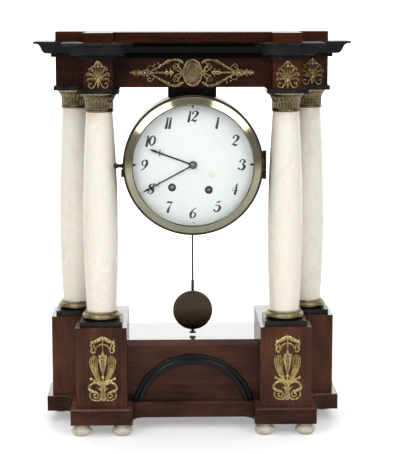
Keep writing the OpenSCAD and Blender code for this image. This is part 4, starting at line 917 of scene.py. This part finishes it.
curlStrokes = [
    ([(48, 4.6), (50.6, 8.6), (54.4, 11.2), (57.2, 8.8), (55.4, 6.4), (53.4, 7.6)],
     [1.2, 1.6, 1.9, 1.8, 1.6, 1.4], 2.2),
    ([(47, -4.4), (50.6, -8.2), (55, -8.8), (57.4, -6.4)], [1.0, 1.3, 1.4, 1.0], 1.9),
    ([(42, -7), (43.2, -9.6), (43.6, -12)], [1.4, 1.2, 1.2], 1.9),
]


def makeCentreMount():
    arm = newShape(centreSet["plump"])
    addStrokes(arm, armStrokes)
    for i in range(9):
        t = i / 8
        x = 16 + 22 * t
        z = 15.6 + 1.6 * math.sin(math.pi * min(1, t * 1.7)) - 5.2 * t * t
        addDome(arm, x, z + 0.9, 1.35, 3.2)
        addDome(arm, x + 1.1, z - 1.3, 1.15, 2.9)
    for i in range(4):
        x = 39 + 3.4 * i
        addStroke(arm, [(x, 9.6 - 2.1 * i), (x - 1.4, 12 - 2.2 * i)], [1.8, 0.6], 2.2)
    addHoop(arm, 21.6, 8.2, 3.0, 3.0, 1.8, 2.4, 20)
    addDome(arm, 21.6, 8.2, 1.2, 2.6)
    for x, z, r in armBeads:
        addDome(arm, x, z, r, 2.6)
    mirrorShape(arm, 1, -1)
    addStrokes(arm, armSpine)
    addDome(arm, 52.6, 0, 3.2, 3.4)
    addDome(arm, 61, 0, 3.0, 3.4)
    addDome(arm, 76, 0, 2.4, 3.0)
    mirrorShape(arm)
    curls = newShape(centreSet["plump"])
    addStrokes(curls, curlStrokes)
    addDome(curls, 43.6, -12.6, 1.9, 2.8)
    addDome(curls, 48.6, -10.4, 1.4, 2.4)
    mirrorShape(curls, -1, -1)
    medallion = newShape()
    addHoop(medallion, 0, 0, 11.6, 16.6, 2.8, 3.0, 64)
    addHoop(medallion, 0, 0, 9.5, 14.0, 1.5, 2.6, 64)
    for count, halfWide, halfTall, r, rise in centreSet["beads"]:
        for a in turns(count):
            addDome(medallion, halfWide * math.cos(a), halfTall * math.sin(a), r, rise, 3, 8)
    whole = joinShapes(arm, curls, medallion)
    centre = middle("frieze_mount")
    place = (centre[0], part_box("frieze_mount")[1][1], centre[2])
    makePiece("centreMount", whole, [place], "friezeGilt", "case", ["frieze_mount"])
    rings = centreSet["rings"]
    edge = centreSet["fieldEdge"]
    verts = []
    for i in range(rings):
        share = 1 - i / rings
        rise = edge + (centreSet["fieldRise"] - edge) * (1 - share * share)
        for a in turns(centreSet["around"]):
            verts.append((centreSet["fieldWide"] * share * math.cos(a), -rise,
                          centreSet["fieldTall"] * share * math.sin(a)))
    field = newShape()
    addShape(field, verts + [(0, -centreSet["fieldRise"], 0)], domeFaces(rings, centreSet["around"]))
    makePiece("medallionField", field, [place], "field", "case")
    print("centre mount made")


# capitals with a band of upright tongues under a leafy flare

capitalSet = {
    "neck": 17.2, "ring": 18.7, "top": 23.4, "tall": 24.0, "bandLow": 5.0, "bandHigh": 14.4, "lip": 1.4,
    "tongues": 24, "leaves": 20, "bore": 3.5,
}


def spinProfile(profile, around=72):
    shape = newShape()
    verts = [(r * math.cos(a), r * math.sin(a), z) for a in turns(around) for r, z in profile]
    addShape(shape, verts, gridFaces(around, len(profile), ring=True, wrap=False))
    return shape


def flareRadius(z):
    low = capitalSet["bandHigh"]
    share = min(1, max(0, (z - low) / (capitalSet["tall"] - capitalSet["lip"] - low)))
    start = capitalSet["neck"] + 0.6
    return start + (capitalSet["top"] - start) * share ** 1.5


def wrapShape(shape, count, radius):
    # flat strokes laid round a turned face
    whole = newShape()
    for turn in turns(count):
        verts = []
        for x, y, z in shape["verts"]:
            r = radius(z)
            a = turn + x / r
            verts.append(((r - y) * math.cos(a), (r - y) * math.sin(a), z))
        addShape(whole, verts, shape["faces"])
    return whole


def makeCapitals():
    neck = capitalSet["neck"]
    ring = capitalSet["ring"]
    low = capitalSet["bandLow"]
    high = capitalSet["bandHigh"]
    tall = capitalSet["tall"]
    top = capitalSet["top"]
    bore = capitalSet["bore"]
    inner = neck + 0.4
    profile = [(bore, 0), (inner, 0)]
    profile += [(inner + (ring - inner) * math.sin(math.pi * k / 10), 0.2 + 3.0 * k / 10) for k in range(11)]
    profile += [(neck + 0.9, 3.4), (neck + 0.9, 4.4), (neck - 0.4, low), (neck - 0.4, high - 1.4)]
    profile += [(neck + 0.9, high - 1.2), (neck + 1.1, high - 0.5), (neck + 0.6, high)]
    for k in range(1, 13):
        z = high + (tall - capitalSet["lip"] - high) * k / 12
        profile.append((flareRadius(z), z))
    profile += [(top, tall - 0.2), (top - 0.3, tall), (bore, tall)]
    body = spinProfile(profile)
    tongue = newShape()
    pitch = 2 * math.pi * neck / capitalSet["tongues"]
    addStroke(tongue, [(0, low + 0.4), (0, (low + high) / 2), (0, high - 2.6)],
              [pitch * 0.6, pitch * 0.74, pitch * 0.6], 1.5, 0.4)
    addStroke(tongue, [(pitch / 2, low + 0.2), (pitch / 2, high - 2.2)], [0.7, 0.9], 1.0, 0, 4)
    tongues = wrapShape(tongue, capitalSet["tongues"], lambda z: neck - 0.5)
    leaf = newShape()
    addStroke(leaf, [(0, high + 0.3), (0, high + 2.6), (0, high + 5.6)], [3.2, 4.0, 1.0], 0.8, 0.5)
    addStroke(leaf, [(2.9, high + 0.8), (2.9, high + 3.6)], [0.8, 1.6], 0.6, 0, 6)
    leaves = wrapShape(leaf, capitalSet["leaves"], lambda z: flareRadius(z) - 0.15)
    whole = joinShapes(body, tongues, leaves)
    for corner in corners:
        node = "capital_" + corner
        centre = middle(node)
        place = (centre[0], centre[1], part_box(node)[0][2])
        makePiece(node + "_cast", whole, [place], "capitalGilt", "case", [node], 50)
    print("capitals made")


# painted numerals and marks on the dial

dialSet = {
    "digitTall": 13.6, "ring": 62.0, "slant": 0.17, "bold": 1.4, "markRing": 74.2,
    "lift": 0.04, "clear": 0.02, "rise": 1.5,
    "windingHoles": ((-26.9, -28.9), (20.0, -32.2)), "holeRing": 4.2, "holeWidth": 2.0,
}

digitStrokes = {
    # each digit is a list of pen strokes: points and widths in hundredths of its height
    "0": [([(2, 48), (-22, 20), (-22, -20), (0, -48)], [5, 15, 15, 5]),
          ([(2, 48), (22, 20), (22, -20), (0, -48)], [5, 13, 13, 5])],
    "1": [([(4, 50), (2, 10), (0, -48)], [6, 14, 18]),
          ([(-10, 34), (3, 48)], [3, 5])],
    "2": [([(-20, 26), (-16, 42), (4, 48), (24, 28), (12, 0), (-12, -24), (-26, -44)],
           [14, 6, 7, 19, 12, 4, 3]),
          ([(-26, -42), (-8, -36), (10, -46), (28, -32)], [4, 13, 14, 3])],
    "3": [([(-20, 28), (-12, 44), (6, 48), (24, 28), (2, 4)], [13, 5, 7, 17, 3]),
          ([(2, 4), (28, -14), (20, -42), (-4, -48), (-26, -34)], [4, 20, 16, 5, 13])],
    "4": [([(12, 50), (10, 0), (6, -48)], [5, 14, 17]),
          ([(10, 46), (-10, 12), (-28, -16)], [3, 3, 3]),
          ([(-28, -18), (0, -17), (30, -18)], [3, 4, 3])],
    "5": [([(-10, 46), (6, 42), (26, 50)], [5, 12, 3]),
          ([(-10, 46), (-14, 26), (-18, 6)], [3, 3, 3]),
          ([(-18, 4), (6, 12), (25, -10), (16, -40), (-6, -48), (-26, -34)], [3, 7, 19, 13, 5, 13])],
    "6": [([(20, 48), (-4, 30), (-22, -6), (-16, -38), (2, -48)], [5, 7, 16, 15, 4]),
          ([(2, -48), (22, -30), (18, -2), (0, 4), (-18, -12)], [4, 12, 10, 4, 3])],
    "7": [([(-24, 34), (-14, 45), (6, 40), (28, 48)], [4, 12, 13, 4]),
          ([(28, 47), (10, 10), (0, -20), (-2, -48)], [3, 5, 14, 18])],
    "8": [([(20, 36), (2, 49), (-18, 32), (2, 6), (24, -20), (2, -48)], [4, 5, 13, 17, 14, 4]),
          ([(2, -48), (-24, -26), (2, 4), (20, 24), (20, 36)], [4, 9, 3, 6, 5])],
    "9": [([(-20, -48), (4, -30), (22, 6), (16, 38), (-2, 48)], [6, 9, 18, 16, 4]),
          ([(-2, 48), (-22, 30), (-18, 2), (0, -4), (18, 12)], [4, 12, 10, 4, 3])],
}
digitWide = {
    "0": 0.62, "1": 0.3, "2": 0.66, "3": 0.7, "4": 0.64, "5": 0.6, "6": 0.58, "7": 0.6, "8": 0.62, "9": 0.58,
}


def addNumeral(shape, text, x, z):
    tall = dialSet["digitTall"]
    wide = sum(digitWide[d] for d in text) * tall
    left = x - wide / 2
    for digit in text:
        mid = left + digitWide[digit] * tall / 2
        left += digitWide[digit] * tall
        for points, widths in digitStrokes[digit]:
            shares = [(px / 100, pz / 100) for px, pz in points]
            placed = [(mid + (px + dialSet["slant"] * pz) * tall, z + pz * tall) for px, pz in shares]
            widths = [w / 100 * tall * dialSet["bold"] for w in widths]
            addStroke(shape, placed, widths, dialSet["lift"], 0, 2)


def makeDialPaint():
    paint = newShape()
    for hour in range(1, 13):
        a = math.radians(30 * hour)
        addNumeral(paint, str(hour), dialSet["ring"] * math.sin(a), dialSet["ring"] * math.cos(a))
    ring = dialSet["markRing"]
    for a in (0, 90, 270):
        turn = math.radians(a)
        out = Vector((math.sin(turn), math.cos(turn)))
        points = [tuple(out * (ring + step)) for step in (1.4, 0, -2.4)]
        addStroke(paint, points, [3.4, 2.2, 0.4], dialSet["lift"], 0, 2)
    addStroke(paint, [(0, -ring), (0, -ring - 0.8)], [1.4, 1.4], dialSet["lift"], 0, 2)
    # a dark ring at each winding hole: a dark edge on the dial, and over the hole's inside a painted shade
    for x, z in dialSet["windingHoles"]:
        addHoop(paint, x, z, dialSet["holeRing"], dialSet["holeRing"], dialSet["holeWidth"], dialSet["lift"])
    low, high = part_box("dial")
    face = middle("dial")
    rim = (high[0] - low[0]) / 2 * 1000
    curve = dialSet["rise"] / rim ** 2
    paint["verts"] = [(x, y + curve * (x * x + z * z) - dialSet["clear"], z) for x, y, z in paint["verts"]]
    makePiece("dialNumerals", paint, [(face[0], low[1], face[2])], "dialPaint", "case")
    print("dial painted")


# the domed collet that holds the hands

colletSet = {"radius": 3.7, "lip": 2.9, "tip": 1.3}


def makeCollet():
    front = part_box("minute_hand")[0][1]
    arbor = middle("centre_wheel")
    tall = max(1.0, (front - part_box("centre_wheel")[0][1]) * 1000 + 0.3)
    r = colletSet["radius"]
    lip = colletSet["lip"]
    tip = colletSet["tip"]
    profile = [(0, 0), (r, 0), (r, 0.25), (r - 0.25, 0.45), (lip, 0.35), (lip - 0.3, 0.6)]
    for k in range(7):
        a = math.pi / 2 * k / 6
        profile.append((tip + (lip - 0.5 - tip) * math.cos(a), 0.6 + (tall - 0.9) * math.sin(a)))
    profile += [(tip, tall), (0, tall)]
    turned = spinProfile(profile, 40)
    turned["verts"] = [(x, -z, y) for x, y, z in turned["verts"]]
    makePiece("handCollet", turned, [(arbor[0], front, arbor[2])], "collet", "centre_arbor")
    print("collet made")


# the bezel: a dark bead, a polished face that slopes back to it, and a rebate for the glass

bezelSet = {"depth": 9.6, "tab": 86.4, "knuckle": 2.0, "bore": 1.15, "half": 6.0}
bezelProfile = [
    (86.2, 0), (89.4, 0), (89.4, 5.4), (89.3, 6.0), (89.0, 6.5), (88.5, 6.85), (87.7, 7.0), (87.0, 6.95),
    (86.5, 6.75), (86.3, 6.95), (86.1, 7.028), (78.2, 10.122), (78.0, 10.2), (77.8, 10.15), (77.5, 10.4),
    (77.0, 10.5), (76.6, 10.35), (76.4, 9.9), (76.4, 8.8), (77.2, 8.6), (83.5, 7.0), (83.5, 5.3),
    (79.5, 5.25), (79.5, 3.6), (84.6, 3.2), (86.2, 2.2), (86.2, 0),
]


def boxShape(low, high):
    shape = newShape()
    xs, ys, zs = zip(low, high)
    shape["verts"] = [(x, y, z) for x in xs for y in ys for z in zs]
    shape["faces"] = [(0, 1, 3, 2), (4, 6, 7, 5), (0, 4, 5, 1), (2, 3, 7, 6), (0, 2, 6, 4), (1, 5, 7, 3)]
    return shape


def makeBezel():
    pin = middle("hinge_pin")
    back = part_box("bezel")[0][1] + bezelSet["depth"] / 1000
    half = bezelSet["half"]
    outer = bezelSet["knuckle"]
    bore = bezelSet["bore"]
    ring = spinProfile(bezelProfile, 160)
    ring["verts"] = [(x, -z, y) for x, y, z in ring["verts"]]
    pinX = pin[0] * 1000
    pinY = (pin[1] - back) * 1000
    tube = spinProfile([(outer, -half), (outer, half), (bore, half), (bore, -half), (outer, -half)], 32)
    tube["verts"] = [(pinX + x, pinY + y, z) for x, y, z in tube["verts"]]
    tab = boxShape((bezelSet["tab"], pinY - outer, -half), (pinX - bore, 0, half))
    whole = joinShapes(ring, tube, tab)
    place = (0, back, middle("dial")[2])
    makePiece("bezelRing", whole, [place], "bezelBrass", "bezel_door", ["bezel"], 25)
    print("bezel made")


makePedestalMounts()
makePalmettes()
makeCentreMount()
makeCapitals()
makeDialPaint()
makeCollet()
makeBezel()
makeCamera()
makeLights()
makeFloor()
makeBackdrop()
dressNodes()
